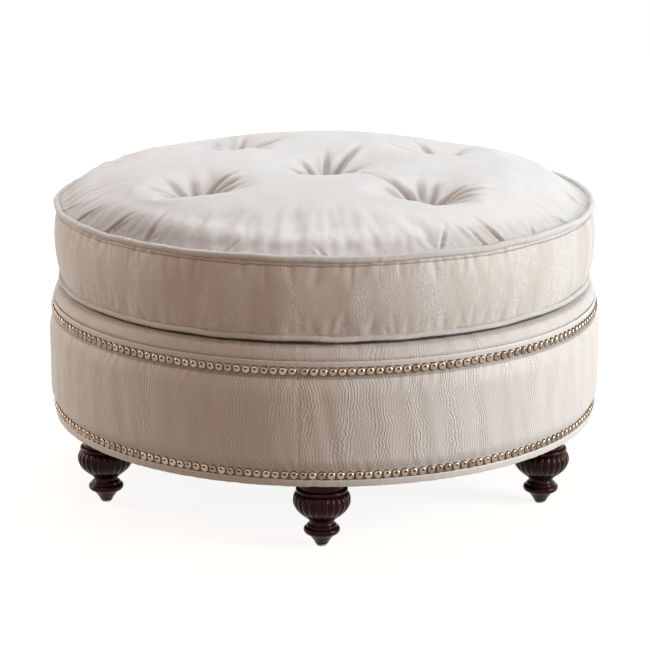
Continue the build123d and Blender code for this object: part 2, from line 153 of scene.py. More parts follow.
class OttomanTrim(bpy.types.PropertyGroup):
    nail_radius: FloatProperty(
        name="Nail radius", description="Radius of a nail's head",
        subtype="DISTANCE", unit="LENGTH", default=0.0058, min=0.001,
    )
    nail_height: FloatProperty(
        name="Nail height", description="Height of a nail's head over the cloth",
        subtype="DISTANCE", unit="LENGTH", default=0.0034, min=0.001,
    )
    nail_spacing: FloatProperty(
        name="Nail spacing", description="Space between two heads in a row",
        subtype="DISTANCE", unit="LENGTH", default=0.00037, min=0,
    )
    seam_gap: FloatProperty(
        name="Seam gap", description="Distance between the two nails beside the skirt's seam",
        subtype="DISTANCE", unit="LENGTH", default=0.0158, min=0,
    )
    seam_angle: FloatProperty(
        name="Seam angle", description="Place of the skirt's seam round the drum",
        subtype="ANGLE", unit="ROTATION", default=math.radians(265.6),
    )
    pewter: FloatVectorProperty(
        name="Pewter", description="Colour of the nails", subtype="COLOR",
        default=(0.350, 0.262, 0.198), min=0, max=1,
    )
    lacquer: FloatVectorProperty(
        name="Lacquer", description="Colour of the legs", subtype="COLOR",
        default=(0.022, 0.0040, 0.0034), min=0, max=1,
    )


# Node trees


def opaque(colour):
    """A colour with full alpha. A socket stays as it is."""
    if isinstance(colour, bpy.types.NodeSocket):
        return colour
    return (*tuple(colour)[:3], 1.0)


def toned(colour, share):
    return tuple(channel * share for channel in tuple(colour)[:3])


class Finish:
    """A material or world that is being made, with short calls for its nodes."""

    def __init__(self, name, kind="materials"):
        self.owner = getattr(bpy.data, kind).new(name)
        self.owner.use_nodes = True
        self.tree = self.owner.node_tree
        self.tree.nodes.clear()

    def node(self, kind, inputs=None, **settings):
        made = self.tree.nodes.new("ShaderNode" + kind)
        for key, value in settings.items():
            setattr(made, key, value)
        for socket, value in (inputs or {}).items():
            if isinstance(value, bpy.types.NodeSocket):
                self.tree.links.new(value, made.inputs[socket])
            else:
                made.inputs[socket].default_value = value
        return made

    def coordinates(self, output="Object"):
        return self.node("TexCoord").outputs[output]

    def attribute(self, name):
        return self.node("Attribute", attribute_name=name).outputs["Fac"]

    def axes(self, vector):
        """The X, Y and Z of a vector."""
        return self.node("SeparateXYZ", {"Vector": vector}).outputs[:]

    def noise(self, vector, scale, detail=2.0, roughness=0.5, distortion=0.0):
        """Noise with a scale of its own along each axis."""
        inputs = {
            "Vector": self.node("Mapping", {"Vector": vector, "Scale": scale}).outputs["Vector"],
            "Scale": 1.0, "Detail": detail, "Roughness": roughness, "Distortion": distortion,
        }
        return self.node("TexNoise", inputs).outputs["Fac"]

    def math(self, operation, first, *others):
        """The operation with each of the other values in turn."""
        for second in others or (0.0,):
            first = self.node("Math", {0: first, 1: second}, operation=operation).outputs[0]
        return first

    def add(self, *values):
        return self.math("ADD", *values)

    def times(self, *values):
        return self.math("MULTIPLY", *values)

    def wave(self, place, pitch):
        return self.math("SINE", self.times(place, TURN / pitch))

    def span(self, value, low, high, start=0.0, end=1.0):
        inputs = {"Value": value, "From Min": start, "From Max": end, "To Min": low, "To Max": high}
        return self.node("MapRange", inputs).outputs["Result"]

    def swing(self, value, size):
        """A noise value as a swing either side of zero."""
        return self.times(self.math("SUBTRACT", value, 0.5), size)

    def length(self, vector):
        return self.node("VectorMath", {0: vector}, operation="LENGTH").outputs["Value"]

    def mix(self, share, first, second):
        inputs = {0: share, 6: opaque(first), 7: opaque(second)}
        return self.node("Mix", inputs, data_type="RGBA").outputs[2]

    def ramp(self, value, *stops):
        made = self.node("ValToRGB", {"Fac": value})
        points = made.color_ramp.elements
        while len(points) < len(stops):
            points.new(1.0)
        for point, (place, colour) in zip(points, stops):
            point.position = place
            point.color = opaque(colour)
        return made.outputs["Color"]

    def seen_directly(self):
        """1 for rays from the camera and for mirrored or transmitted ones."""
        rays = self.node("LightPath").outputs
        names = ("Is Camera Ray", "Is Glossy Ray", "Is Transmission Ray")
        return self.math("MAXIMUM", *(rays[name] for name in names))

    def surface(self, colour, roughness, height, depth, **constants):
        """The whole material, with its relief as a bump of this depth."""
        bump = self.node("Bump", {"Height": height, "Distance": depth, "Strength": 1.0})
        inputs = {"Base Color": opaque(colour), "Roughness": roughness, "Normal": bump.outputs[0]}
        for name, value in constants.items():
            inputs[name.replace("_", " ")] = value
        return self.done("Material", self.node("BsdfPrincipled", inputs))

    def done(self, kind, shader):
        self.node("Output" + kind, {"Surface": shader.outputs[0]})
        return self.owner


# What shifts the streaks of the silk: noise scales across and up it, detail and size in metres
SILK_SHIFTS = (
    ((5.5, 10.5, 1), 1.0, 0.060), ((26, 66, 1), 2.0, 0.0095), ((120, 290, 1), 1.0, 0.0040)
)
SILK_RIBS, CORD_RIBS = 2.4 * MM, 2.1 * MM
SILK_RELIEF, CORD_RELIEF = 0.34 * MM, 0.22 * MM


def watered_silk(
    name, cloth, contrast, roughness=0.42, crackle=0.0, slant=0.0, quiet=None, lines=(), folded=0.0
):
    """Ribbed silk with watering on its UV map in metres: streaks that run up the piece in groups,
    fine crackle marks, slanting ribs, a quiet lower edge, lines of painted highlight or painted
    shade at folded edges, nails and seams, and painted shade from the valley attribute, scaled by
    folded."""
    make = Finish(name)
    uv = make.coordinates("UV")
    across, up = make.axes(uv)[:2]
    sway, wobble, tremble = (
        make.swing(make.noise(uv, scale, detail), size) for scale, detail, size in SILK_SHIFTS
    )
    bent = make.add(across, sway)
    place = make.add(bent, wobble, tremble)
    fine = make.times(make.wave(place, cloth.streak_pitch * 0.61), 0.55)
    streak = make.add(make.wave(place, cloth.streak_pitch), fine)
    patches = make.noise(uv, (26, 7, 1))
    groups = make.add(make.wave(bent, cloth.group_pitch), make.swing(patches, 5.0))
    force = make.span(groups, 0.24, 1.0, -0.7, 1.3)
    if quiet is not None:
        force = make.times(force, make.span(up, 0.10, 1.0, quiet, quiet + 0.020))
    ribs = make.wave(make.add(make.times(across, 0.8), up), SILK_RIBS)
    swing = make.add(make.times(streak, 0.21, force), make.times(ribs, 0.10 * slant))
    worm = make.noise(uv, (400, 200, 1), 1.5, distortion=0.7)
    ridge = make.span(make.math("ABSOLUTE", make.swing(worm, 1.0)), 1.0, 0.0, 0.0, 0.080)
    marks = make.times(ridge, make.span(patches, 0.12 * crackle, crackle, 0.42, 0.58))
    grain = make.noise(uv, (620, 520, 1), roughness=0.6)
    cloudy = make.swing(make.noise(uv, (9, 9, 1)), 0.30)
    cloudy = make.add(cloudy, make.swing(patches, 0.8 * crackle))
    mottled = make.add(make.swing(grain, 0.50 + 0.24 * contrast), cloudy)
    middle = 0.62 - 0.24 * crackle
    tone = make.add(make.times(swing, contrast), make.times(marks, 0.72), mottled, middle)
    # Painted shade from the valley attribute and from lines with a negative shift; lines with a
    # positive shift add a painted highlight to the tone.
    shade = make.times(make.attribute("valley"), folded)
    for level, width, shift in lines:
        near = make.math("ABSOLUTE", make.math("SUBTRACT", up, level))
        close = make.span(near, abs(shift), 0.0, width * 0.55, width)
        if shift > 0:
            tone = make.add(tone, close)
        else:
            shade = make.math("MAXIMUM", shade, close)
    colour = make.mix(tone, cloth.silk_shade, cloth.silk)
    # Mix towards a darkened silk tone where painted shade falls.
    colour = make.mix(shade, colour, toned(cloth.silk_shade, 0.30))
    height = make.add(make.times(swing, 1.5 * contrast), make.times(grain, 0.35))
    height = make.add(height, make.times(marks, 0.6))
    return make.surface(
        colour, make.span(tone, roughness + 0.10, roughness - 0.08), height, SILK_RELIEF,
        Specular_IOR_Level=0.34, Specular_Tint=SILK_TINT, Sheen_Weight=0.05, Sheen_Roughness=0.35,
    )


def corded_silk(name, cloth):
    """Bias-cut silk round a cord, with fine slanting ribs, on the tube's UV map."""
    make = Finish(name)
    uv = make.coordinates("UV")
    ribs = make.wave(make.add(*make.axes(uv)[:2]), CORD_RIBS)
    grain = make.noise(uv, (240, 700, 1), roughness=0.6)
    cloudy = make.times(make.noise(uv, (28, 28, 1)), 0.70)
    # The constant 0.16 sets the tone above that of the other silk pieces: painted light standing
    # for the top light on the pipings.
    tone = make.add(make.times(ribs, 0.08), make.times(grain, 0.5), cloudy, 0.16)
    return make.surface(
        make.mix(tone, cloth.silk_shade, cloth.silk), make.span(grain, 0.30, 0.42),
        make.add(ribs, grain), CORD_RELIEF,
        Specular_IOR_Level=0.40, Specular_Tint=SILK_TINT, Sheen_Weight=0.05,
    )


def woven_lining(name, colour):
    """Plain cotton lining, on Object coordinates."""
    make = Finish(name)
    where = make.coordinates()
    warp, weft = (make.math("SINE", make.times(axis, 5200.0)) for axis in make.axes(where)[:2])
    cloudy = make.noise(where, (40, 40, 40), 3.0)
    tint = make.ramp(cloudy, (0.25, toned(colour, 0.86)), (0.75, toned(colour, 1.06)))
    height = make.add(make.times(warp, weft, 0.4), cloudy)
    return make.surface(tint, make.span(cloudy, 0.85, 0.72), height, 0.0003, Sheen_Weight=0.1)


def fibre_mat(name, colour, scale):
    """Loose fibres or open foam, on Object coordinates."""
    make = Finish(name)
    where = make.coordinates()
    cells = make.node("TexVoronoi", {"Vector": where, "Scale": scale, "Randomness": 1.0})
    loose = make.noise(where, (60, 60, 60), 4.0)
    tint = make.ramp(loose, (0.3, toned(colour, 0.80)), (0.7, colour))
    height = make.add(cells.outputs["Distance"], loose)
    return make.surface(tint, make.span(loose, 0.95, 0.85), height, 0.0012)


def lacquered_wood(name, colour):
    """Dark red-brown mahogany under clear gloss lacquer, grain along Z."""
    make = Finish(name)
    where = make.coordinates()
    grain = make.noise(where, (260, 260, 24), 4.0, 0.62, 0.4)
    cloud = make.noise(where, (34, 34, 16))
    tint = make.ramp(
        make.add(make.times(grain, 0.6), make.times(cloud, 0.4)),
        (0.30, toned(colour, 0.35)), (0.52, colour), (0.75, toned(colour, 2.6)),
    )
    return make.surface(
        tint, make.span(grain, 0.20, 0.30), grain, 0.00008, Specular_IOR_Level=0.08,
        Specular_Tint=MAHOGANY_TINT, Coat_Weight=0.34, Coat_IOR=1.3, Coat_Roughness=0.04,
    )


def grained(name, dark, light, rough, depth, scale, detail, *noise, metallic=0.0):
    """A material whose tone, gloss and relief follow one noise, on Object coordinates. The tones
    are given with their places on the ramp."""
    make = Finish(name)
    grain = make.noise(make.coordinates(), scale, detail, *noise)
    tint = make.ramp(grain, dark, light)
    return make.surface(tint, make.span(grain, *rough), grain, depth, Metallic=metallic)


def raw_wood(name, light, dark, scale):
    """Unfinished board with long grain."""
    return grained(name, (0.32, dark), (0.62, light), (0.78, 0.62), 0.0003, scale, 5.0, 0.6, 0.6)


def worn_metal(name, light, dark, rough):
    """Metal with a slightly mottled surface."""
    scale = (160, 160, 160)
    return grained(name, (0.35, dark), (0.65, light), rough, 0.0001, scale, 3.0, 0.6, metallic=1.0)


def smooth_polymer(name, colour):
    """Moulded plastic with a faint texture."""
    dark = toned(colour, 0.9)
    return grained(name, (0.3, dark), (0.7, colour), (0.5, 0.4), 0.00005, (700, 700, 700), 2.0)


def nail_pewter(name, colour):
    """Warm pewter, a little different from nail to nail, with painted shade at the rim where the
    head meets the cloth and a painted dark reflection above the middle of the dome.
    """
    make = Finish(name)
    across, upward = make.attribute("across"), make.attribute("upward")
    mottle = make.noise(make.coordinates(), (330, 330, 330), 3.0, 0.65)
    low, high = toned(colour, 0.72), toned(colour, 1.28)
    body = make.ramp(make.attribute("tone"), (0.0, low), (0.5, colour), (1.0, high))
    spot = make.node("CombineXYZ", {"X": across, "Y": make.times(upward, 1.5)}).outputs["Vector"]
    dark_reflection_distance = make.node("VectorMath", {0: spot, 1: NAIL_DARK_REFLECTION}, operation="DISTANCE").outputs["Value"]
    rim = make.length(make.node("CombineXYZ", {"X": across, "Y": upward}).outputs["Vector"])
    # Painted shade round the rim and a painted dark reflection above the middle, with a little dark
    # mottle: the pewter goes near black there.
    body_share = make.times(
        make.span(rim, 1.0, 0.0, 0.84, 0.98), make.span(dark_reflection_distance, 0.02, 1.0, 0.22, 0.50),
        make.span(mottle, 0.75, 1.0, 0.38, 0.50),
    )
    tint = make.mix(body_share, toned(colour, 0.05), body)
    return make.surface(tint, make.span(body_share, 0.55, 0.20), mottle, 0.00006, Metallic=1.0)


def twisted_twine(name, colour):
    """Waxed twine with strands that wind round Z."""
    make = Finish(name)
    x, _, z = make.axes(make.coordinates())
    strands = make.math("SINE", make.add(make.times(z, TURN / 0.004), make.times(x, 3000.0)))
    tint = make.mix(make.span(strands, 0.0, 1.0, -1.0, 1.0), toned(colour, 0.6), colour)
    return make.surface(tint, 0.6, strands, 0.0003)


# Mesh work


def arc(centre, radius, start, end, count):
    """Points of an arc in the (radius, height) plane, angles in degrees."""
    points = []
    for number in range(count + 1):
        angle = math.radians(start + (end - start) * number / count)
        points.append((centre[0] + radius * math.cos(angle), centre[1] + radius * math.sin(angle)))
    return points


def run(start, end, count):
    """Evenly spaced points of a straight line, without the last one."""
    step = [(b - a) / count for a, b in zip(start, end)]
    return [(start[0] + step[0] * number, start[1] + step[1] * number) for number in range(count)]


def as_mesh(bm, name):
    """The bmesh as a mesh of its own."""
    mesh = bpy.data.meshes.new(name)
    bm.to_mesh(mesh)
    bm.free()
    return mesh


def in_scene(name, data):
    """A new object in the scene."""
    piece = bpy.data.objects.new(name, data)
    bpy.context.scene.collection.objects.link(piece)
    return piece


def stamp(bm, mesh):
    """Adds a copy of the mesh to the bmesh and gives its vertices."""
    before = len(bm.verts)
    bm.from_mesh(mesh)
    bm.verts.ensure_lookup_table()
    return bm.verts[before:]


def spin(bm, points, closed, angle, **ways):
    """Turns (radius, height) points about the Z axis."""
    verts = [bm.verts.new((radius, 0, height)) for radius, height in points]
    edges = [bm.edges.new(pair) for pair in zip(verts, verts[1:])]
    if closed:
        edges.append(bm.edges.new((verts[-1], verts[0])))
    bmesh.ops.spin(bm, geom=verts + edges, cent=(0, 0, 0), axis=(0, 0, 1), angle=angle, **ways)


def spun(profile, steps, closed=True):
    """A closed skin turned about the Z axis from (radius, height) points, a sector at a time."""
    sectors = steps // SECTOR_STEPS
    sector = bmesh.new()
    spin(sector, profile, closed, TURN / sectors, steps=SECTOR_STEPS)
    mesh = as_mesh(sector, "sector")
    bm = bmesh.new()
    for number in range(sectors):
        turn = Matrix.Rotation(number * TURN / sectors, 3, "Z")
        bmesh.ops.rotate(bm, verts=stamp(bm, mesh), cent=(0, 0, 0), matrix=turn)
    bpy.data.meshes.remove(mesh)
    bmesh.ops.remove_doubles(bm, verts=bm.verts, dist=WELD)
    bmesh.ops.recalc_face_normals(bm, faces=bm.faces)
    return bm


def close_up(bm):
    """Fills the holes and turns the faces outward."""
    bmesh.ops.holes_fill(bm, edges=[edge for edge in bm.edges if edge.is_boundary], sides=0)
    bmesh.ops.recalc_face_normals(bm, faces=bm.faces)


def cut(bm, level, above):
    """Cuts the mesh at a level and takes away what is above it, or what is below."""
    bmesh.ops.bisect_plane(
        bm, geom=bm.verts[:] + bm.edges[:] + bm.faces[:], dist=WELD, plane_co=(0, 0, level),
        plane_no=(0, 0, 1), clear_outer=above, clear_inner=not above,
    )


def finished(bm, name, material, body):
    """The piece's object, shaded smooth and riding on its body."""
    mesh = as_mesh(bm, name)
    piece = in_scene(name, mesh)
    mesh.materials.clear()
    mesh.materials.append(material)
    mesh.shade_smooth()
    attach(piece, body)
    return piece


def listed(items, key, width=1, kind=float):
    """A property of all the items as an array."""
    flat = np.zeros(len(items) * width, kind)
    items.foreach_get(key, flat)
    return flat.reshape(-1, width) if width > 1 else flat


def places(mesh):
    """The mesh's vertex places as an array."""
    return listed(mesh.vertices, "co", 3)


def move_to(mesh, points):
    mesh.vertices.foreach_set("co", np.ascontiguousarray(points).reshape(-1))
    mesh.update()


def polar(points):
    """The angle of each point round the Z axis and its distance from it."""
    return np.arctan2(points[:, 1], points[:, 0]), np.hypot(points[:, 0], points[:, 1])


def move_out(points, angle, move):
    """Moves points away from the Z axis."""
    points[:, 0] += np.cos(angle) * move
    points[:, 1] += np.sin(angle) * move


def put_at(points, angle, reach):
    """Puts points at a distance from the Z axis."""
    points[:, 0] = np.cos(angle) * reach
    points[:, 1] = np.sin(angle) * reach


def past(angle, start):
    """How far an angle is past another one, at most half a turn either way."""
    return np.mod(angle - start + math.pi, TURN) - math.pi


def set_uv(mesh, uv):
    layer = mesh.uv_layers.new(name="UVMap")
    layer.data.foreach_set("uv", uv.astype(np.float32).reshape(-1))


def corners(mesh):
    """The vertex of each face corner, and how many corners each face has."""
    return (
        listed(mesh.loops, "vertex_index", kind=np.int32),
        listed(mesh.polygons, "loop_total", kind=np.int32),
    )


def lay_flat_uv(mesh):
    """A UV map in metres along X and Y."""
    set_uv(mesh, places(mesh)[corners(mesh)[0]][:, :2])


def lay_uv(mesh, seam, radius):
    """A UV map in metres: round the piece from its seam, and up and over it."""
    points = places(mesh)
    corner, counts = corners(mesh)
    middle = np.mod(polar(listed(mesh.polygons, "center", 3))[0] - seam, TURN)
    middle = np.repeat(middle, counts)
    angle, reach = polar(points)
    around = middle + past(angle[corner] - seam, middle)
    set_uv(mesh, np.stack([around * radius, points[corner][:, 2] + radius - reach[corner]], 1))


def lay_tube_uv(mesh, circle, level):
    """A UV map in metres for a ring-shaped tube: along it and round it."""
    points = places(mesh)
    corner, counts = corners(mesh)
    starts = listed(mesh.polygons, "loop_start", kind=np.int32)
    along, reach = polar(points)
    round_it = np.arctan2(points[:, 2] - level, reach - circle)
    columns = []
    for values, radius in ((along, circle), (round_it, 4 * MM)):
        first = np.repeat(values[corner[starts]], counts)
        columns.append((first + past(values[corner], first)) * radius)
    set_uv(mesh, np.stack(columns, 1))


def ripple(angle, seed, low, high):
    """A smooth irregular wave of about unit height round a circle: low to high swings a turn."""
    chance = random.Random(seed)
    total = np.zeros_like(angle)
    for _ in range(RIPPLE_WAVES):
        wave = np.sin(chance.randint(low, high) * angle + chance.uniform(0, TURN))
        total += wave * chance.uniform(0.5, 1.0)
    return total / math.sqrt(RIPPLE_WAVES) * UNIT_HEIGHT


def drift(x, y, seed, short, long):
    """A smooth irregular field of about unit height with swings from short to long metres."""
    chance = random.Random(seed)
    total = np.zeros_like(x)
    for _ in range(DRIFT_WAVES):
        heading = chance.uniform(0, TURN)
        swing = TURN / chance.uniform(short, long)
        along = x * math.cos(heading) + y * math.sin(heading)
        total += np.sin(along * swing + chance.uniform(0, TURN)) * chance.uniform(0.5, 1.0)
    return total / math.sqrt(DRIFT_WAVES) * UNIT_HEIGHT


def ease(value, start, end):
    """0 below start, 1 above end and smooth between."""
    share = np.clip((value - start) / (end - start), 0, 1)
    return share * share * (3 - 2 * share)


def between(value, rise, fall):
    """0 outside, 1 inside and smooth along the rise and the fall."""
    return ease(value, *rise) * (1 - ease(value, *fall))


def bell(value, width):
    return np.exp(-((value / width) ** 2))


def clear_legs(points, low, high, outside):
    """Draws the cloth between two radii back to the round holes in which the leg tops stand."""
    angle, reach = polar(points)
    for number in range(6):
        lag = past(angle - FRONT, number * TURN / 6)
        side = LEG_CIRCLE * np.sin(lag)
        inside = (np.abs(side) < LEG_HOLE) & (np.abs(lag) < 0.5)
        half = np.sqrt(np.maximum(LEG_HOLE**2 - side**2, 0))
        edge = LEG_CIRCLE * np.cos(lag) + (half if outside else -half)
        share = np.clip((reach - low) / (high - low), 0, 1)
        if outside:
            moved = np.maximum(reach, edge + (high - edge) * share)
            picked = inside & (reach < high)
        else:
            moved = np.minimum(reach, low + (edge - low) * share)
            picked = inside & (reach > low)
        reach = np.where(picked, moved, reach)
    put_at(points, angle, reach)


# Stage

LAMP_AIM = Vector((0, 0, 0.25))
# Name, place, size, power in watts and colour
LAMPS = (
    ("side_lamp", (2.32, -0.78, 0.84), (1.1, 1.4), 59, (0.89, 0.965, 1.0)),
    ("top_lamp", (0.15, 1.1, 2.6), (2.2, 1.5), 60, (0.76, 0.885, 1.0)),
    ("left_lamp", (-2.1, 0.45, 0.85), (0.9, 1.4), 16, (1.0, 0.95, 0.89)),
    ("front_lamp", (-0.9, -2.3, 1.6), (2.2, 1.5), 13.0, (1.0, 0.71, 0.54)),
)
CAMERA_AIM = Vector((0.00085, 0, 0.204))
CAMERA_LIFT, CAMERA_SWING = math.radians(15.08), math.radians(0.55)
CAMERA_AWAY = 3.388
CAMERA_LENS, CAMERA_SENSOR = 131.96, 36


def floor_finish():
    """Pale floor that the camera sees as white where no shadow lies, and see-through from below."""
    make = Finish("pale_floor")
    seen = make.seen_directly()
    where = make.coordinates()
    paper = make.noise(where, (3, 3, 3))
    tint = make.ramp(paper, (0.0, (0.30, 0.235, 0.185)), (1.0, (0.32, 0.255, 0.205)))
    plain = make.node("BsdfDiffuse", {"Color": tint})
    glow = make.times(seen, make.span(make.length(where), 0.89, 0.97, 0.9, 3.0))
    white = make.node("Emission", {"Color": (1, 1, 1, 1), "Strength": glow})
    lit = make.node("AddShader", {0: plain.outputs[0], 1: white.outputs[0]})
    back = make.node("NewGeometry").outputs["Backfacing"]
    clear = make.node("BsdfTransparent")
    both = make.node("MixShader", {0: back, 1: lit.outputs[0], 2: clear.outputs[0]})
    return make.done("Material", both)


def studio_air():
    """Dim warm light from all round. What is seen directly or mirrored is a white room."""
    make = Finish("studio", "worlds")
    dim = make.node("Background", {"Color": (1.0, 0.73, 0.56, 1), "Strength": 0.12})
    white = make.node("Background", {"Color": (1, 1, 1, 1)})
    inputs = {0: make.seen_directly(), 1: dim.outputs[0], 2: white.outputs[0]}
    return make.done("World", make.node("MixShader", inputs))


class OTTOMAN_OT_stage(bpy.types.Operator):
    """Makes the floor, the lamps and the camera"""

    bl_idname = "ottoman.stage"
    bl_label = "Stage"

    def execute(self, context):
        bm = bmesh.new()
        bmesh.ops.create_grid(bm, x_segments=2, y_segments=2, size=14)
        floor = in_scene("floor", as_mesh(bm, "floor"))
        floor.data.materials.append(floor_finish())
        for name, place, size, power, colour in LAMPS:
            data = bpy.data.lights.new(name, "AREA")
            data.shape = "RECTANGLE"
            data.size, data.size_y = size
            data.energy = power
            data.color = colour
            self.aimed(in_scene(name, data), Vector(place), LAMP_AIM)
        context.scene.world = studio_air()
        data = bpy.data.cameras.new("camera")
        data.sensor_width = CAMERA_SENSOR
        data.lens = CAMERA_LENS
        data.clip_end = 60
        camera = in_scene("camera", data)
        level = math.cos(CAMERA_LIFT)
        back = Vector((
            level * math.sin(CAMERA_SWING), -level * math.cos(CAMERA_SWING), math.sin(CAMERA_LIFT)
        ))
        self.aimed(camera, CAMERA_AIM + back * CAMERA_AWAY, CAMERA_AIM)
        context.scene.camera = camera
        context.scene.view_settings.view_transform = "Standard"
        return {"FINISHED"}

    def aimed(self, piece, place, aim):
        piece.location = place
        piece.rotation_euler = (aim - place).to_track_quat("-Z", "Y").to_euler()


# Rigid pieces that keep their CAD shape


class OTTOMAN_OT_frame(bpy.types.Operator):
    """Finishes the boards, posts, screws, legs, bolts and glides"""

    bl_idname = "ottoman.frame"
    bl_label = "Frame and legs"

    def execute(self, context):
        trim = context.scene.ottoman_trim
        nodes = sorted(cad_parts)
        legs = [name for name in nodes if name.startswith("leg_") and name[-1].isdigit()]
        posts = [name for name in nodes if name.startswith("frame_post")]
        boards = ["bottom_board", "deck_board", "drum_skin"]
        steel = ["frame_screws", "leg_hanger_bolts", "leg_tee_nuts", "dust_cover_staples"]
        birch = raw_wood("birch_plywood", (0.60, 0.44, 0.27), (0.42, 0.28, 0.15), (14, 60, 130))
        softwood = raw_wood("softwood", (0.66, 0.47, 0.26), (0.47, 0.29, 0.13), (90, 90, 9))
        zinc = worn_metal("zinc_steel", (0.62, 0.63, 0.62), (0.40, 0.41, 0.42), (0.44, 0.28))
        for names, material in (
            (boards, birch),
            (posts, softwood),
            (steel, zinc),
            (["leg_glides"], smooth_polymer("glide_nylon", (0.62, 0.60, 0.55))),
            (["underside_buttons"], smooth_polymer("button_nylon", (0.70, 0.67, 0.60))),
            (["tuft_twines"], twisted_twine("twine", (0.72, 0.64, 0.50))),
            (legs, lacquered_wood("lacquered_mahogany", trim.lacquer)),
        ):
            for name in names:
                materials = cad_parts[name].data.materials
                materials.clear()
                materials.append(material)
        return {"FINISHED"}


# Drum

SKIRT_PUFF = (0.113, 0.135), (0.215, 0.238)
SKIRT_PULLS = ((8, 1.1, 0.115), (9, -0.8, 0.236))
SEAM_WIDTH, SEAM_DEPTH = 1.1 * MM, 0.7 * MM
WADDING_LOW, WADDING_HIGH, WADDING_REACH = 0.1035, 0.2500, 0.3799
# Centre of the ring of painted shade on the deck under the cushion's lower piping.
PIPING_SHADE_CIRCLE = 0.355


def skirt_profile(inset):
    """The skirt from its lip under the board to its top edge, as (radius, height) points."""
    flat = PUFF_RADIUS - 6.3 * MM - inset
    tuck = PUFF_RADIUS - 8.0 * MM - inset
    puff = PUFF_RADIUS - inset
    lip = SKIRT_LOW + inset
    head = 5.6 * MM
    slope = 1.8 * MM
    low_rise, high_rise = 17.5 * MM, 27.0 * MM
    low_step, high_step = LOW_ROW - head, HIGH_ROW + head
    low_puff, high_puff = LOW_ROW + head + low_rise, HIGH_ROW - head - high_rise
    corner = (PUFF_RADIUS - 10.0 * MM, SKIRT_LOW + 2.0 * MM)
    points = run((SKIRT_LIP, lip), (corner[0], lip), 5)
    points += arc(corner, 2.0 * MM - inset, -90, 0, 4)
    points += run((tuck, corner[1] + MM), (tuck, low_step), 4)
    points += [(tuck, low_step)]
    points += run((flat, low_step + slope), (flat, LOW_ROW + head), 4)
    for number in range(9):
        share = number / 9
        reach = flat + (puff - flat) * math.sin(share * math.pi / 2)
        points.append((reach, LOW_ROW + head + share * low_rise))
    points += run((puff, low_puff), (puff, high_puff), 22)
    for number in range(12):
        share = number / 12
        reach = flat + (puff - flat) * math.cos(share * math.pi / 2)
        points.append((reach, high_puff + share * high_rise))
    points += run((flat, HIGH_ROW - head), (flat, high_step - slope), 4)
    return points + [(flat, high_step - slope), (tuck, high_step), (tuck, SKIRT_HIGH)]


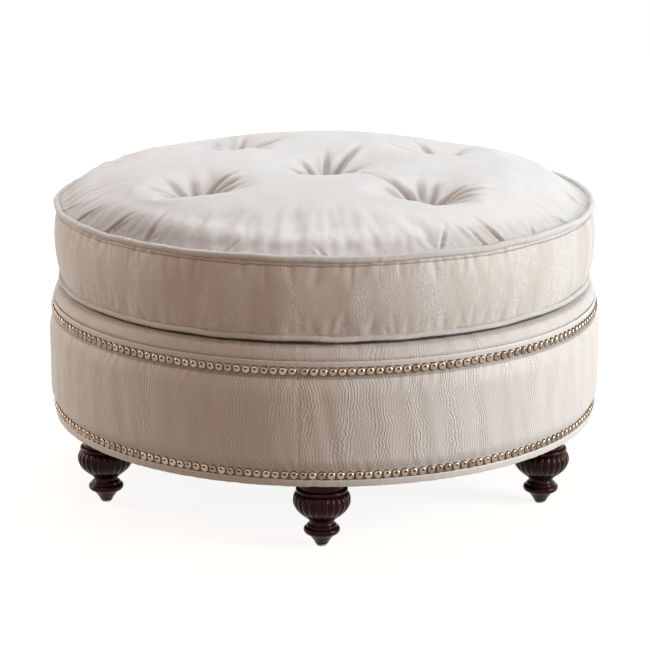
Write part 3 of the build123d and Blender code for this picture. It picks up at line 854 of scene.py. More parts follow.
class OTTOMAN_OT_skirt(bpy.types.Operator):
    """Makes the skirt's silk, the wadding behind it and the two border bands"""

    bl_idname = "ottoman.skirt"
    bl_label = "Skirt"

    def execute(self, context):
        cloth, trim = context.scene.ottoman_cloth, context.scene.ottoman_trim
        # Painted shade along the two nail rows, full behind the heads and fading out just past
        # their edges.
        rows = [(level, 6.3 * MM, -0.60) for level in (LOW_ROW, HIGH_ROW)]
        silk = watered_silk(
            "watered_silk_skirt", cloth, 1.9, crackle=0.25, quiet=LEG_TOP + 20 * MM, lines=rows
        )
        skin = spun(skirt_profile(0) + skirt_profile(CLOTH)[::-3], 900)
        cover = finished(skin, "skirt_silk", silk, "base")
        points = places(cover.data)
        angle = polar(points)[0]
        height = points[:, 2]
        loose = between(height, *SKIRT_PUFF)
        soft = ripple(angle, 3, 18, 60) * 0.6 + ripple(angle + height * 0.5, 5, 50, 120) * 0.35
        pull = sum(
            ripple(angle + height * slant, seed, 120, 210) * bell(height - level, 14 * MM)
            for seed, slant, level in SKIRT_PULLS
        )
        move = cloth.skirt_ripple * (soft * loose + pull * 0.55)
        seam = bell(past(angle, trim.seam_angle) * PUFF_RADIUS, SEAM_WIDTH) * (height > 0.11)
        move_out(points, angle, move - seam * SEAM_DEPTH)
        lip = np.nonzero(height < LEG_TOP + 0.5 * MM)[0]
        under = points[lip]
        clear_legs(under, SKIRT_LIP, PUFF_RADIUS - 9.4 * MM, True)
        points[lip] = under
        move_to(cover.data, points)
        lay_uv(cover.data, trim.seam_angle, PUFF_RADIUS)
        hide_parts("skirt_cover")
        self.wadding()
        self.bands(cloth, trim)
        return {"FINISHED"}

    def wadding(self):
        """A soft layer between the drum's skin and the silk."""
        inset = CLOTH + PLAY
        wall = [
            (reach, height) for reach, height in skirt_profile(inset)
            if WADDING_LOW < height < WADDING_HIGH and reach > WADDING_REACH - inset
        ]
        inside = SKIN_RADIUS + PLAY
        hem = HEM_RADIUS + PLAY
        low, high = wall[0][1], wall[-1][1]
        step = DECK_HEM - PLAY
        pad = spun(wall + [(hem, high), (hem, step), (inside, step), (inside, low)], 360)
        wadding = fibre_mat("wadding", (0.80, 0.78, 0.73), 900)
        piece = finished(pad, "skirt_wadding", wadding, "base")
        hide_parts("skirt_padding")

    def bands(self, cloth, trim):
        """Two folded strips of silk with soft edges, one above and one below the nails."""
        thick, soft = 2.2 * MM, 1.0 * MM
        for name, node, seed in (
            ("upper_band_silk", "upper_border_band", 21),
            ("lower_band_silk", "lower_border_band", 22),
        ):
            low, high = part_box(node)
            # A painted highlight along the top folded edge of each band.
            folds = ((high.z, 2.2 * MM, 0.60),)
            silk = watered_silk("watered_" + name, cloth, 0.5, 0.38, crackle=0.2, lines=folds)
            outer = high.x
            front, back = outer - soft, outer - thick + soft
            points = arc((front, low.z + soft), soft, -90, 0, 4)
            points += arc((front, high.z - soft), soft, 0, 90, 4)
            points += arc((back, high.z - soft), soft, 90, 180, 3)
            points += arc((back, low.z + soft), soft, 180, 270, 3)
            strip = finished(spun(points[:-1], 900), name, silk, "base")
            spots = places(strip.data)
            angle = polar(spots)[0]
            spots[:, 2] += ripple(angle, seed, 30, 140) * 0.00018
            move_out(spots, angle, ripple(angle, seed + 5, 60, 260) * 0.00016)
            move_to(strip.data, spots)
            lay_uv(strip.data, trim.seam_angle, outer)
            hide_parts(node)


def sink_under_piping(points):
    """Lowers the deck a little where the cushion's lower piping stands over it."""
    reach = polar(points)[1]
    deep = 3.4 * MM * between(reach, (0.338, 0.345), (0.3590, 0.3665))
    wide = 2.8 * MM * between(reach, (0.345, 0.352), (0.3690, 0.3770))
    points[:, 2] -= (deep + wide) * ease(points[:, 2], 0.2560, 0.2640)


class OTTOMAN_OT_deck(bpy.types.Operator):
    """Makes the deck's silk cover and the foam under it"""

    bl_idname = "ottoman.deck"
    bl_label = "Deck"

    def execute(self, context):
        cloth, trim = context.scene.ottoman_cloth, context.scene.ottoman_trim
        outer = HEM_RADIUS + 2.0 * MM
        bend = 20.7 * MM
        centre = (outer - bend, DECK_TOP - bend)
        ring = centre[0] - 20 * MM
        fold = centre[1] - 2.0 * MM

        def face(inset):
            level = DECK_TOP - inset
            points = run((0, level), (ring, level), 18) + run((ring, level), (centre[0], level), 4)
            return points + arc(centre, bend - inset, 90, 0, 10)

        hem = [(HEM_RADIUS, fold)] + run((HEM_RADIUS, fold - 2 * MM), (HEM_RADIUS, DECK_HEM), 3)
        hem += [(HEM_RADIUS, DECK_HEM), (HEM_RADIUS - CLOTH, DECK_HEM), (HEM_RADIUS - CLOTH, fold)]
        # Painted shade: a wide dark ring where the cushion's lower piping stands on the deck, and a
        # thin dark line where the deck meets the top of the upper band.
        piping_shade_level = DECK_TOP - 5.0 * MM + outer - PIPING_SHADE_CIRCLE
        lines = ((piping_shade_level, 11.0 * MM, -0.32), (SKIRT_HIGH + 0.8 * MM, 2.0 * MM, -0.50))
        silk = watered_silk("watered_silk_deck", cloth, 1.6, crackle=0.2, slant=1.2, lines=lines)
        skin = spun(face(0) + hem + face(CLOTH)[::-1], 540, closed=False)
        cover = finished(skin, "deck_silk", silk, "base")
        points = places(cover.data)
        angle, reach = polar(points)
        near = ease(reach, 0.345, 0.366) * ease(points[:, 2], 0.2585, 0.2660)
        sink = ripple(angle, 31, 24, 90) * 0.0005 + ripple(angle, 33, 90, 200) * 0.00022
        inward = -np.abs(sink) * near
        sink_under_piping(points)
        points[:, 2] += inward
        move_out(points, angle, inward * 0.7)
        move_to(cover.data, points)
        lay_uv(cover.data, trim.seam_angle, outer)
        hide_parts("deck_cover")
        inset = CLOTH + PLAY
        base = DRUM_TOP + PLAY
        side = HEM_RADIUS - inset
        block = spun(face(inset) + [(side, fold), (side, base), (0, base)], 240, closed=False)
        foam = fibre_mat("foam", (0.78, 0.70, 0.46), 1500)
        pad = finished(block, "deck_foam", foam, "base")
        points = places(pad.data)
        sink_under_piping(points)
        move_to(pad.data, points)
        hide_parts("deck_pad")
        return {"FINISHED"}


# A nail head's outline, as shares of its radius and height
NAIL_OUTLINE = (
    (0.0, 1.0), (0.40, 0.95), (0.72, 0.76), (0.93, 0.42), (1.0, 0.10), (0.97, 0.0), (0.14, 0.0)
)
NAIL_SHANK = 14 * MM
NAIL_TILT, NAIL_STRAY = 0.045, 0.00012


class OTTOMAN_OT_nails(bpy.types.Operator):
    """Makes the two rows of domed nails"""

    bl_idname = "ottoman.nails"
    bl_label = "Nails"

    def execute(self, context):
        trim = context.scene.ottoman_trim
        pewter = nail_pewter("nail_pewter", trim.pewter)
        close = 2 * trim.nail_radius + trim.nail_spacing
        for name, node, gap, seed in (
            ("upper_nail_heads", "upper_nails", trim.seam_gap, 41),
            ("lower_nail_heads", "lower_nails", close, 43),
        ):
            low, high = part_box(node)
            row = self.row(high.x - trim.nail_height, (low.z + high.z) / 2, gap, close, trim, seed)
            piece = finished(row, name, pewter, "base")
            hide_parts(node)
        return {"FINISHED"}

    def head(self, trim):
        """One nail along +X with a few dozen faces: a domed head and a twelve-sided shank."""
        bm = bmesh.new()
        radius, height = trim.nail_radius, trim.nail_height
        points = [(share * radius, rise * height) for share, rise in NAIL_OUTLINE]
        spin(bm, points, False, TURN, steps=12, use_merge=True)
        bmesh.ops.remove_doubles(bm, verts=bm.verts, dist=WELD / 10)
        rim = [edge for edge in bm.edges if edge.is_boundary]
        shank = bmesh.ops.extrude_edge_only(bm, edges=rim)["geom"]
        ends = [item for item in shank if isinstance(item, bmesh.types.BMVert)]
        bmesh.ops.translate(bm, verts=ends, vec=(0, 0, -NAIL_SHANK))
        close_up(bm)
        turn = Matrix.Rotation(math.pi / 2, 3, "Y")
        bmesh.ops.rotate(bm, verts=bm.verts, cent=(0, 0, 0), matrix=turn)
        return as_mesh(bm, "one_nail")

    def row(self, radius, level, gap, close, trim, seed):
        chance = random.Random(seed)
        around = TURN * radius
        spaces = round((around - gap) / close)
        step = TURN * (around - gap) / around / spaces
        start = trim.seam_angle + gap / around * math.pi
        one = self.head(trim)
        bm = bmesh.new()
        tone, across, upward = (
            bm.verts.layers.float.new(name) for name in ("tone", "across", "upward")
        )
        for number in range(spaces + 1):
            fresh = stamp(bm, one)
            value = chance.uniform(0, 1)
            for vert in fresh:
                vert[tone] = value
                vert[across] = vert.co.y / trim.nail_radius
                vert[upward] = vert.co.z / trim.nail_radius
            nod, swivel = (
                Matrix.Rotation(chance.gauss(0, NAIL_TILT), 4, axis) for axis in ("Y", "Z")
            )
            turn = Matrix.Rotation(start + number * step, 4, "Z")
            rise = Matrix.Translation((0, 0, level + chance.gauss(0, NAIL_STRAY)))
            place = rise @ turn @ Matrix.Translation((radius, 0, 0)) @ (nod @ swivel)
            bmesh.ops.transform(bm, verts=fresh, matrix=place)
        bpy.data.meshes.remove(one)
        return bm


class OTTOMAN_OT_dust_cover(bpy.types.Operator):
    """Makes the dark dust cloth under the drum"""

    bl_idname = "ottoman.dust_cover"
    bl_label = "Dust cover"

    def execute(self, context):
        low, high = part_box("dust_cover")
        edge = high.x
        profile = run((0, high.z), (edge, high.z), 40) + [(edge, high.z), (edge, low.z)]
        profile += run((edge - 0.008, low.z), (0, low.z), 39) + [(0, low.z)]
        lining = woven_lining("dust_cloth", (0.030, 0.030, 0.032))
        skin = spun(profile, 480, closed=False)
        cloth = finished(skin, "dust_cloth", lining, "base")
        points = places(cloth.data)
        inside = 1 - ease(polar(points)[1], 0.24, 0.33)
        waves = drift(points[:, 0], points[:, 1], 51, 0.03, 0.12) * 0.0006 * inside
        points[:, 2] += -0.0022 * inside + waves
        clear_legs(points, 0.29, edge, False)
        move_to(cloth.data, points)
        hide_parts("dust_cover")
        return {"FINISHED"}


# Cushion

# The folds of each tuft: the fold's heading in degrees, length, width and depth in millimetres,
# and how far its heading turns along it in degrees. The tufts are the middle one, then the back
# right, back left, front left and front right ones.
TUFT_FOLDS = (
    (
        (152, 82, 4.5, 4.2, 10), (128, 90, 4.5, 4.6, -6), (84, 120, 5.0, 5.0, 6),
        (56, 172, 7.5, 6.0, 14), (24, 96, 6.0, 3.6, -8), (-22, 80, 5.0, 3.0, 8),
        (-54, 150, 8.0, 5.2, 0), (-100, 70, 5.0, 3.0, 10), (-140, 96, 6.0, 3.8, -8),
        (186, 84, 5.0, 3.2, 6),
    ),
    (
        (20, 84, 5.5, 3.8, 8), (62, 96, 6.0, 4.0, -8), (118, 92, 6.0, 4.2, 10),
        (168, 110, 6.5, 4.4, 0), (232, 120, 7.5, 4.8, 6), (290, 110, 7.0, 4.2, -6),
        (-24, 92, 5.0, 4.2, 8),
    ),
    (
        (22, 110, 6.5, 4.2, -6), (68, 90, 5.5, 3.8, 8), (124, 92, 6.0, 4.0, -8),
        (176, 100, 6.0, 4.2, 8), (236, 96, 6.0, 3.8, 0), (300, 130, 7.5, 5.0, 8),
        (-20, 84, 5.0, 4.0, 6),
    ),
    (
        (62, 122, 5.5, 5.6, -12), (42, 104, 4.6, 5.2, -10), (20, 92, 4.4, 4.6, -8),
        (-6, 74, 4.6, 3.4, -6), (96, 84, 6.0, 3.6, 8), (140, 96, 6.0, 3.4, -6),
        (172, 92, 5.0, 3.2, 8), (198, 84, 5.0, 3.4, 0), (228, 74, 5.5, 3.4, 6),
        (268, 76, 6.0, 3.2, -6), (312, 80, 6.0, 3.2, 8),
    ),
    (
        (130, 122, 7.5, 5.6, 6), (104, 92, 5.5, 4.0, -8), (70, 92, 5.5, 4.2, 8),
        (36, 104, 5.0, 4.6, -10), (14, 118, 5.0, 5.0, -6), (-8, 104, 4.6, 4.6, -6),
        (-32, 88, 5.0, 4.0, 6), (-70, 74, 5.5, 3.2, -6), (206, 84, 6.0, 3.6, 8),
        (164, 84, 5.5, 3.6, -6), (244, 72, 5.5, 3.0, 6),
    ),
)

# The longer folds at the cushion's edge: place round it in degrees, length, width and depth in
# millimetres, and the slant of the fold in degrees.
EDGE_FOLDS = (
    (206.5, 52, 4.2, 4.8, 5.0), (219.5, 44, 3.8, 3.8, 4.0), (232.5, 66, 4.4, 4.8, -3.0),
    (196.0, 38, 3.6, 3.2, 4.0), (250.0, 34, 4.0, 2.0, 3.0), (271.0, 30, 4.0, 1.6, -3.0),
    (293.5, 52, 4.0, 3.2, 6.0), (305.0, 40, 3.8, 3.0, -3.0), (309.5, 54, 4.2, 4.4, -3.5),
    (318.0, 40, 3.8, 2.6, 4.0), (332.0, 48, 4.4, 3.2, -4.0), (347.0, 62, 5.0, 3.6, 8.0),
    (15.0, 50, 4.5, 3.4, -5.0), (48.0, 56, 4.5, 3.6, 4.0), (83.0, 48, 4.5, 3.2, -4.0),
    (112.0, 56, 4.5, 3.8, 5.0), (147.0, 50, 4.5, 3.4, -4.0), (176.0, 56, 4.5, 4.0, 4.0),
)

# Where the filled crown stands higher or has settled: place round it in degrees, distance from
# the axis in metres, half width round it in degrees, half width along the radius in metres and
# height in millimetres.
SETTLING = (
    (168, 0.338, 26, 0.024, 9.5),
    (146, 0.312, 12, 0.030, 4.0),
    (131, 0.275, 13, 0.040, -8.0),
    (48, 0.285, 20, 0.040, -6.5),
    (14, 0.322, 14, 0.022, 4.0),
    (4, 0.366, 26, 0.016, -7.0),
    (238, 0.338, 30, 0.018, 3.5),
    (286, 0.340, 24, 0.018, 2.5),
)

CROWN_ROLL = 192.0 * MM
TUFT_SLOPE = math.radians(48)
TUFT_ROLL, TUFT_MOUTH = 70 * MM, 73.4 * MM
TUFT_HOLD = 11 * MM
FOLD_SHADE, PUCKER_SHADE = (0.7 * MM, 2.2 * MM), (0.3 * MM, 1.4 * MM)
PANEL_CLOTH = 0.8 * MM
PAD_INSET = 7.0
CLOTH_WAYS = {
    "quality": 5, "mass": 0.3, "tension_stiffness": 12, "compression_stiffness": 10,
    "shear_stiffness": 4, "bending_stiffness": 0.35, "use_pressure": True,
}
CLOTH_FRAMES = 20


def tuft_centres(cushion):
    spots = [(0.0, 0.0)]
    for number in range(4):
        angle = math.radians(39 + 90 * number)
        spots.append((cushion.tuft_circle * math.cos(angle), cushion.tuft_circle * math.sin(angle)))
    return spots


def from_tufts(x, y, cushion):
    """The distance to the nearest tuft."""
    return np.min([np.hypot(x - cx, y - cy) for cx, cy in tuft_centres(cushion)], axis=0)


def crown_height(reach):
    """Height of the untufted crown at a distance from the axis."""
    edge = TOP_CIRCLE - TOP_TUBE - PLAY
    level = CROWN_TOP - CROWN_ROLL
    middle = edge - math.sqrt(CROWN_ROLL**2 - (TOP_SEAM - level) ** 2)
    out = min(max(reach - middle, 0), CROWN_ROLL * 0.98)
    return level + math.sqrt(CROWN_ROLL**2 - out**2)


def tuft_pull(x, y, cushion):
    """How far the tufts draw the crown down at a place."""
    away = from_tufts(x, y, cushion)
    curve = TUFT_ROLL * math.sin(TUFT_SLOPE)
    inward = np.clip(TUFT_MOUTH - away, 0, curve)
    curved = TUFT_ROLL - np.sqrt(TUFT_ROLL**2 - inward**2)
    straight = np.clip(TUFT_MOUTH - curve - away, 0, None) * math.tan(TUFT_SLOPE)
    return np.minimum(curved + straight, cushion.tuft_depth)


def fold_shape(side, width):
    """A sharp valley with a soft lip on either side."""
    near = side / width
    return -np.exp(-(near**2)) + 0.45 * np.exp(-((np.abs(near) - 1.9) ** 2))


def tuft_folds(x, y, cushion):
    """Height of the folds that run out from the tufts."""
    total = np.zeros_like(x)
    for (cx, cy), folds in zip(tuft_centres(cushion), TUFT_FOLDS):
        away = np.hypot(x - cx, y - cy)
        around = np.arctan2(y - cy, x - cx)
        start = ease(away, 0.010, 0.026)
        for heading, length, width, depth, bend in folds:
            share = away / (length * MM)
            lag = past(around, math.radians(heading) + math.radians(bend) * share)
            force = start * (1 - ease(share, 0.25, 1.0)) * (np.cos(lag) > 0)
            form = fold_shape(away * np.sin(lag), width * MM * (0.55 + 0.75 * share))
            total += depth * MM * force * form
    return total


def edge_folds(angle, reach):
    """Height of the folds and small gathers that run in from the top piping."""
    chance = random.Random(61)
    folds = [(*fold, 1.0) for fold in EDGE_FOLDS]
    spot = 0.0
    while spot < 360:
        strong = 0.8 if 185 < spot < 242 or 300 < spot < 350 else 0.12
        folds.append((
            spot, chance.uniform(12, 34), chance.uniform(2.6, 4.4),
            chance.uniform(0.6, 2.4), chance.uniform(-5, 5), strong,
        ))
        spot += chance.uniform(2.4, 6.5)
    total = np.zeros_like(angle)
    for place, length, width, depth, slant, force in folds:
        inward = (TOP_CIRCLE - reach) / (length * MM)
        side = past(angle, math.radians(place) + math.radians(slant) * inward) * TOP_CIRCLE
        fade = (1 - ease(inward, 0.2, 1.0)) * force
        broad = width * MM * (0.6 + 0.5 * np.clip(inward, 0, 1))
        total += depth * MM * fade * fold_shape(side, broad)
    return total


def boxing_folds(angle, height):
    """Sideways height of the puckers under the top piping and over the bottom one."""
    chance = random.Random(71)
    total = np.zeros_like(angle)
    for level, heading, strong in ((TOP_SEAM, -1, 1.0), (LOW_SEAM, 1, 0.5)):
        spot = 0.0
        while spot < 360:
            length = chance.uniform(10, 28)
            depth = chance.uniform(0.4, 1.4) if 150 < spot < 250 else chance.uniform(0.3, 1.0)
            width = chance.uniform(2.6, 5.0)
            inward = heading * (height - level) / (length * MM)
            aim = math.radians(spot) + math.radians(chance.uniform(-1.5, 1.5)) * inward
            fade = (1 - ease(inward, 0.15, 1.0)) * strong
            total += depth * MM * fade * fold_shape(past(angle, aim) * BOXING_RADIUS, width * MM)
            spot += chance.uniform(2.2, 6.0)
    return total


def over_seam(points):
    """Room between the crown and a level just over the top seam."""
    return np.maximum(points[:, 2] - TOP_SEAM - 1.5 * MM, 0)


def settle(shell):
    """Moves the crown up or down where the photo shows it fuller or flatter."""
    points = places(shell.data)
    angle, reach = polar(points)
    rise = np.zeros(len(points))
    for heading, distance, turn, wide, height in SETTLING:
        lag = past(angle, math.radians(heading)) / math.radians(turn)
        rise += height * MM * np.exp(-(lag**2) - ((reach - distance) / wide) ** 2)
    room = over_seam(points)
    rise = np.where(rise < 0, -np.minimum(-rise, room * 0.6), rise * ease(room, 0.002, 0.012))
    points[:, 2] += rise * (points[:, 2] > TOP_SEAM + MM)
    move_to(shell.data, points)


def cushion_shell(cushion):
    """The closed cushion body before it is inflated, as one even mesh."""
    edge = TOP_CIRCLE - 0.5 * MM
    low_edge = LOW_CIRCLE - 0.5 * MM
    bulge = BOXING_RADIUS - 4.0 * MM
    base = CUSHION_BOTTOM + 1.5 * MM
    profile = run((0, base), (low_edge - 6 * MM, base), 24)
    profile += run((low_edge - 6 * MM, base), (low_edge, LOW_SEAM), 2)
    for number in range(12):
        share = number / 12
        wall = low_edge + (edge - low_edge) * share
        level = LOW_SEAM + (TOP_SEAM - LOW_SEAM) * share
        profile.append((wall + (bulge - edge) * math.sin(share * math.pi), level))
    for number in range(33):
        reach = edge * (1 - number / 32)
        top = crown_height(reach) - 6 * MM * min(1.0, number / 5)
        profile.append((reach, max(top, TOP_SEAM)))
    shell = in_scene("cushion_shell", as_mesh(spun(profile, 120, closed=False), "cushion_shell"))
    remesh(shell, cushion.cloth_mesh)
    points = places(shell.data)
    crown = (points[:, 2] > TOP_SEAM + 0.5 * MM) & (polar(points)[1] < 0.36)
    pull = tuft_pull(points[:, 0], points[:, 1], cushion)
    points[:, 2] -= np.where(crown, np.minimum(pull, over_seam(points)), 0)
    move_to(shell.data, points)
    remesh(shell, cushion.cloth_mesh)
    return shell


def remesh(piece, size):
    """Replaces the mesh by an even one of quads."""
    change = piece.modifiers.new("even", "REMESH")
    change.mode = "VOXEL"
    change.voxel_size = size
    bake(piece)


def finer(piece):
    change = piece.modifiers.new("finer", "SUBSURF")
    change.levels = change.render_levels = 1
    bake(piece)


def bake(piece):
    """Applies the piece's modifiers to its mesh."""
    shape = piece.evaluated_get(bpy.context.evaluated_depsgraph_get())
    mesh = bpy.data.meshes.new_from_object(shape)
    old = piece.data
    piece.modifiers.clear()
    piece.data = mesh
    bpy.data.meshes.remove(old)


def inflate(shell, cushion):
    """Fills the cloth with a cloth simulation, held at the tufts, the seams and underneath."""
    rest = places(shell.data)
    angle, reach = polar(rest)
    height = rest[:, 2]
    away = from_tufts(rest[:, 0], rest[:, 1], cushion)
    top = height > TOP_SEAM + MM
    held = (away < TUFT_HOLD) & top
    held |= (np.abs(height - TOP_SEAM) < 3 * MM) & (reach > TOP_CIRCLE - 6 * MM)
    held |= height < LOW_SEAM + 2.5 * MM
    calm = 1 - 0.8 * bell(past(angle, math.radians(272)), 0.42)
    near = np.maximum(1 - ease(away, 0.03, 0.11), ease(reach, 0.29, 0.35) * 0.35 * calm)
    tight = np.round((1 - np.where(top, near, 0.3)) * 10)
    shell.vertex_groups.new(name="held").add(np.nonzero(held)[0].tolist(), 1.0, "REPLACE")
    group = shell.vertex_groups.new(name="tight")
    for level in range(11):
        group.add(np.nonzero(tight == level)[0].tolist(), level / 10, "REPLACE")
    cloth = shell.modifiers.new("Cloth", "CLOTH")
    ways = cloth.settings
    for key, value in CLOTH_WAYS.items():
        setattr(ways, key, value)
    ways.uniform_pressure_force = cushion.pressure
    ways.vertex_group_mass = "held"
    ways.vertex_group_shrink = "tight"
    ways.shrink_min = -cushion.spare_cloth
    ways.shrink_max = -0.006
    ways.effector_weights.gravity = 0
    cloth.collision_settings.use_collision = False
    cloth.point_cache.frame_start = 1
    cloth.point_cache.frame_end = CLOTH_FRAMES
    scene = bpy.context.scene
    for number in range(CLOTH_FRAMES):
        scene.frame_set(number + 1)
    shape = shell.evaluated_get(bpy.context.evaluated_depsgraph_get())
    move = places(shape.data) - rest
    shell.modifiers.clear()
    shell.vertex_groups.clear()
    scene.frame_set(1)
    size = np.linalg.norm(move, axis=1)
    limit = cushion.swell_limit
    move *= (limit * np.tanh(size / limit) / np.maximum(size, 1e-9))[:, None]
    move_to(shell.data, rest + move)


def sunk(lift, start, depth):
    """How far a place lies down in a fold's valley, from 0 to 1."""
    return np.clip((-lift - start) / depth, 0, 1)


def crease(shell, cushion):
    """Adds the folds that run from the tufts and the seams, and stores painted shade for their
    valleys and for the crown's edge as the valley attribute.
    """
    mesh = shell.data
    points = places(mesh)
    normal = listed(mesh.vertex_normals, "vector", 3, np.float32).astype(float)
    x, y, height = points.T
    angle, reach = polar(points)
    top = ease(height, TOP_SEAM + 0.2 * MM, TOP_SEAM + 2 * MM)
    lift = (tuft_folds(x, y, cushion) + edge_folds(angle, reach)) * top
    # Painted shade in the valleys of the folds.
    valley = sunk(lift, *FOLD_SHADE)
    # Painted shade along the crown's edge by the top piping, wider and stronger at the front left.
    corner = bell(past(angle, math.radians(224)), 0.40)
    turned = 1 - ease(TOP_CIRCLE - reach, 0.002, 0.042 + 0.016 * corner)
    valley = np.maximum(valley, (0.50 + 0.60 * corner) * turned)
    lift += drift(x, y, 81, 0.02, 0.05) * 0.00025 * top
    side = (height > LOW_SEAM) & (height < TOP_SEAM)
    edge = between(height, (LOW_SEAM, LOW_SEAM + 3 * MM), (TOP_SEAM - 3 * MM, TOP_SEAM))
    puckers = boxing_folds(angle, height)
    # On the boxing, painted shade in the valleys of the puckers instead.
    valley = np.where(side, sunk(puckers, *PUCKER_SHADE), valley)
    lift += np.where(side, puckers + ripple(angle, 83, 6, 26) * 0.0006 * edge, 0)
    shade = mesh.attributes.new("valley", "FLOAT", "POINT")
    shade.data.foreach_set("value", valley.astype(np.float32))
    move_to(mesh, points + normal * lift[:, None])


def panel(shell, name, low, high, material):
    """The part of the shell between two levels, as cloth with its own thickness."""
    bm = bmesh.new()
    bm.from_mesh(shell.data)
    for level, above in ((low, False), (high, True)):
        if level is not None:
            cut(bm, level, above)
    bmesh.ops.solidify(bm, geom=bm.faces[:], thickness=PANEL_CLOTH)
    bmesh.ops.recalc_face_normals(bm, faces=bm.faces)
    return finished(bm, name, material, "cushion")


class OTTOMAN_OT_cushion(bpy.types.Operator):
    """Makes the tufted cushion: its cloth panels, foam core and fibre pad"""

    bl_idname = "ottoman.cushion"
    bl_label = "Cushion"

    def execute(self, context):
        scene = context.scene
        cloth, cushion, trim = scene.ottoman_cloth, scene.ottoman_cushion, scene.ottoman_trim
        shell = cushion_shell(cushion)
        inflate(shell, cushion)
        settle(shell)
        self.fibre_pad(shell)
        finer(shell)
        crease(shell, cushion)
        # folded sets how dark the painted shade of the valley attribute is on the crown and the
        # boxing.
        crown = watered_silk("watered_silk_crown", cloth, 0.08, 0.46, crackle=0.20, folded=0.46)
        # Painted shade lines just over the bottom piping and just under the top one.
        seams = ((LOW_SEAM + 4.0 * MM, 1.9 * MM, -0.75), (TOP_SEAM - 4.9 * MM, 1.7 * MM, -0.60))
        boxing = watered_silk(
            "watered_silk_boxing", cloth, 0.45, crackle=1.0, lines=seams, folded=0.40
        )
        top = panel(shell, "crown_silk", TOP_SEAM, None, crown)
        lay_flat_uv(top.data)
        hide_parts("cushion_top_panel")
        side = panel(shell, "boxing_silk", LOW_SEAM, TOP_SEAM, boxing)
        lay_uv(side.data, trim.seam_angle + math.pi, BOXING_RADIUS)
        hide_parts("cushion_boxing")
        mesh = shell.data
        bpy.data.objects.remove(shell)
        bpy.data.meshes.remove(mesh)
        self.underside(cushion)
        self.core()
        return {"FINISHED"}

    def fibre_pad(self, shell):
        """Fibre wadding between the foam and the crown, drawn from the cloth's own form."""
        bm = bmesh.new()
        bm.from_mesh(shell.data)
        bm.normal_update()
        for vert, normal in [(vert, vert.normal.copy()) for vert in bm.verts]:
            vert.co -= normal * PAD_INSET * MM
        cut(bm, CORE_TOP + PLAY, False)
        close_up(bm)
        fibre = fibre_mat("fibre", (0.86, 0.85, 0.82), 800)
        piece = finished(bm, "fibre_pad", fibre, "cushion")
        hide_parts("cushion_fibre_pad")

    def underside(self, cushion):
        """The cotton panel under the cushion, drawn in a little at the five twines."""
        edge = LOW_CIRCLE - LOW_TUBE
        outer = run((0, CUSHION_BOTTOM), (edge - 5 * MM, CUSHION_BOTTOM), 62)
        outer += [
            (edge - 5 * MM, CUSHION_BOTTOM), (edge - 1.8 * MM, CUSHION_BOTTOM + 1.2 * MM),
            (edge - 0.3 * MM, LOW_SEAM - 0.6 * MM),
        ]
        inner = [(max(r - (CLOTH if r > 0.3 else 0), 0), z + CLOTH) for r, z in outer[::-1]]
        lining = woven_lining("cotton_lining", (0.62, 0.57, 0.49))
        skin = spun(outer + inner, 240, closed=False)
        piece = finished(skin, "underside_cotton", lining, "cushion")
        points = places(piece.data)
        x, y = points[:, 0], points[:, 1]
        rise = 4.4 * MM * (1 - ease(from_tufts(x, y, cushion), 0.0135, 0.024))
        inside = 1 - ease(np.hypot(x, y), 0.33, 0.36)
        rise += np.abs(drift(x, y, 91, 0.03, 0.09)) * 0.0005 * inside
        points[:, 2] += rise
        move_to(piece.data, points)
        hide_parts("cushion_bottom_panel")

    def core(self):
        """The round block of foam that gives the cushion its height."""
        low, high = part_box("cushion_foam_core")
        round_low, round_high = 8 * MM, 4 * MM
        edge = LOW_CIRCLE - LOW_TUBE - 8 * MM
        middle = BOXING_RADIUS - 16 * MM
        base = low.z + 4.6 * MM
        foot = edge - round_low
        profile = run((0, base), (foot, base), 20)
        profile += arc((foot, base + round_low), round_low, -90, 0, 5)
        for number in range(1, 12):
            share = number / 12
            level = base + round_low + (high.z - 12 * MM - base) * share
            profile.append((edge + (middle - edge) * math.sin(share * math.pi * 0.7), level))
        reach = profile[-1][0]
        profile += arc((reach - round_high, high.z - round_high), round_high, 0, 90, 4)
        profile += run((reach - 2 * round_high, high.z), (0, high.z), 20) + [(0, high.z)]
        foam = fibre_mat("cushion_foam", (0.82, 0.76, 0.56), 1500)
        piece = finished(spun(profile, 240, closed=False), "foam_core", foam, "cushion")
        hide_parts("cushion_foam_core")


class OTTOMAN_OT_piping(bpy.types.Operator):
    """Makes the cushion's two pipings and the cords inside them"""

    bl_idname = "ottoman.piping"
    bl_label = "Piping"

    def execute(self, context):
        silk = corded_silk("corded_silk", context.scene.ottoman_cloth)
        cord = fibre_mat("filler_cord", (0.84, 0.81, 0.74), 1200)
        for node, ring, seed in (("top_piping", TOP_RING, 101), ("bottom_piping", LOW_RING, 102)):
            circle, tube, level = ring
            piece = self.tube(node + "_silk", ring, silk, seed, 14, 900)
            lay_tube_uv(piece.data, circle, level)
            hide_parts(node)
            inside = (circle, tube - CLOTH - PLAY, level)
            inner = self.tube(node + "_cord", inside, cord, seed, 8, 420)
            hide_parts(node + "_filler")
        return {"FINISHED"}

    def tube(self, name, ring, material, seed, sides, steps):
        """A ring-shaped tube that wanders a little as sewn piping does."""
        circle, radius, level = ring
        bm = spun(arc((circle, level), radius, 0, 360, sides)[:-1], steps)
        piece = finished(bm, name, material, "cushion")
        points = places(piece.data)
        angle, reach = polar(points)
        thick = 1 + 0.05 * ripple(angle, seed, 80, 300)
        radial = (reach - circle) * thick + ripple(angle, seed + 1, 4, 30) * 0.0006
        sag = ripple(angle, seed + 2, 5, 36) * 0.0007
        points[:, 2] = level + (points[:, 2] - level) * thick + sag
        put_at(points, angle, circle + radial)
        move_to(piece.data, points)
        return piece


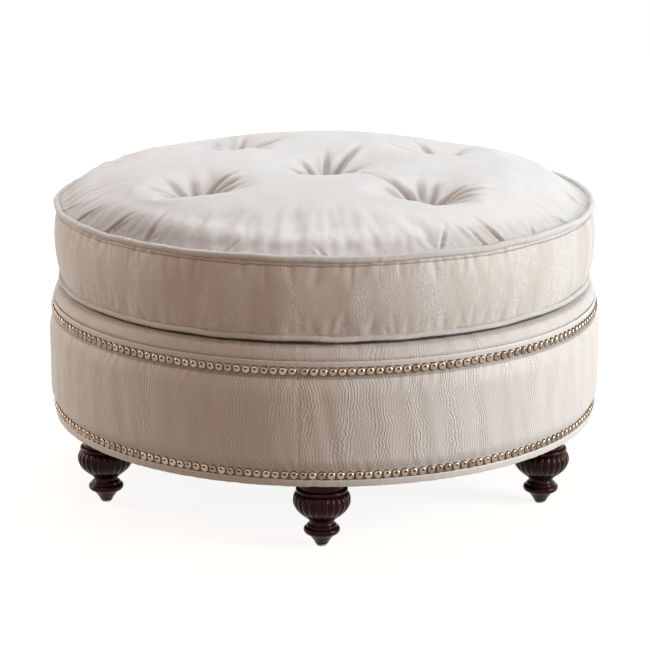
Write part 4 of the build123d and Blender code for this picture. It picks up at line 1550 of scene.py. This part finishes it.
class OTTOMAN_OT_buttons(bpy.types.Operator):
    """Makes the silk-covered buttons at the bottoms of the tufts"""

    bl_idname = "ottoman.buttons"
    bl_label = "Tuft buttons"

    def execute(self, context):
        low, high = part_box("tuft_buttons")
        radius, rim = 11.0 * MM, 2.0 * MM
        dome = high.z - low.z - rim
        profile = [(0, 0), (radius * 0.8, 0), (radius, rim * 0.4), (radius, rim)]
        for number in range(1, 9):
            angle = number / 8 * math.pi / 2
            profile.append((radius * math.cos(angle), rim + dome * math.sin(angle)))
        bm = bmesh.new()
        mesh = as_mesh(spun(profile, 30, closed=False), "one_button")
        for cx, cy in tuft_centres(context.scene.ottoman_cushion):
            bmesh.ops.translate(bm, verts=stamp(bm, mesh), vec=(cx, cy, low.z))
        bpy.data.meshes.remove(mesh)
        silk = watered_silk("watered_silk_button", context.scene.ottoman_cloth, 0.2)
        piece = finished(bm, "silk_buttons", silk, "cushion")
        lay_flat_uv(piece.data)
        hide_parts("tuft_buttons")
        return {"FINISHED"}


# Add-on

GROUPS = {
    "ottoman_cloth": OttomanCloth, "ottoman_cushion": OttomanCushion, "ottoman_trim": OttomanTrim
}
STEPS = (
    OTTOMAN_OT_stage,
    OTTOMAN_OT_frame,
    OTTOMAN_OT_skirt,
    OTTOMAN_OT_deck,
    OTTOMAN_OT_nails,
    OTTOMAN_OT_dust_cover,
    OTTOMAN_OT_cushion,
    OTTOMAN_OT_piping,
    OTTOMAN_OT_buttons,
)


class OTTOMAN_PT_panel(bpy.types.Panel):
    """The ottoman's settings and steps"""

    bl_idname = "OTTOMAN_PT_panel"
    bl_label = "Round ottoman"
    bl_space_type = "VIEW_3D"
    bl_region_type = "UI"
    bl_category = "Ottoman"

    def draw(self, context):
        for name in GROUPS:
            group = getattr(context.scene, name)
            box = self.layout.box()
            for setting in group.bl_rna.properties:
                if setting.identifier not in ("rna_type", "name"):
                    box.prop(group, setting.identifier)
        column = self.layout.column()
        for step in STEPS:
            column.operator(step.bl_idname)


CLASSES = (*GROUPS.values(), *STEPS, OTTOMAN_PT_panel)


def register():
    for kind in CLASSES:
        bpy.utils.register_class(kind)
    for name, kind in GROUPS.items():
        setattr(bpy.types.Scene, name, PointerProperty(type=kind))


def unregister():
    for name in GROUPS:
        delattr(bpy.types.Scene, name)
    for kind in reversed(CLASSES):
        bpy.utils.unregister_class(kind)


def main():
    register()
    bpy.ops.ottoman.stage()
    bpy.ops.ottoman.frame()
    bpy.ops.ottoman.skirt()
    bpy.ops.ottoman.deck()
    bpy.ops.ottoman.nails()
    bpy.ops.ottoman.dust_cover()
    bpy.ops.ottoman.cushion()
    bpy.ops.ottoman.piping()
    bpy.ops.ottoman.buttons()


if __name__ == "__main__":
    main()
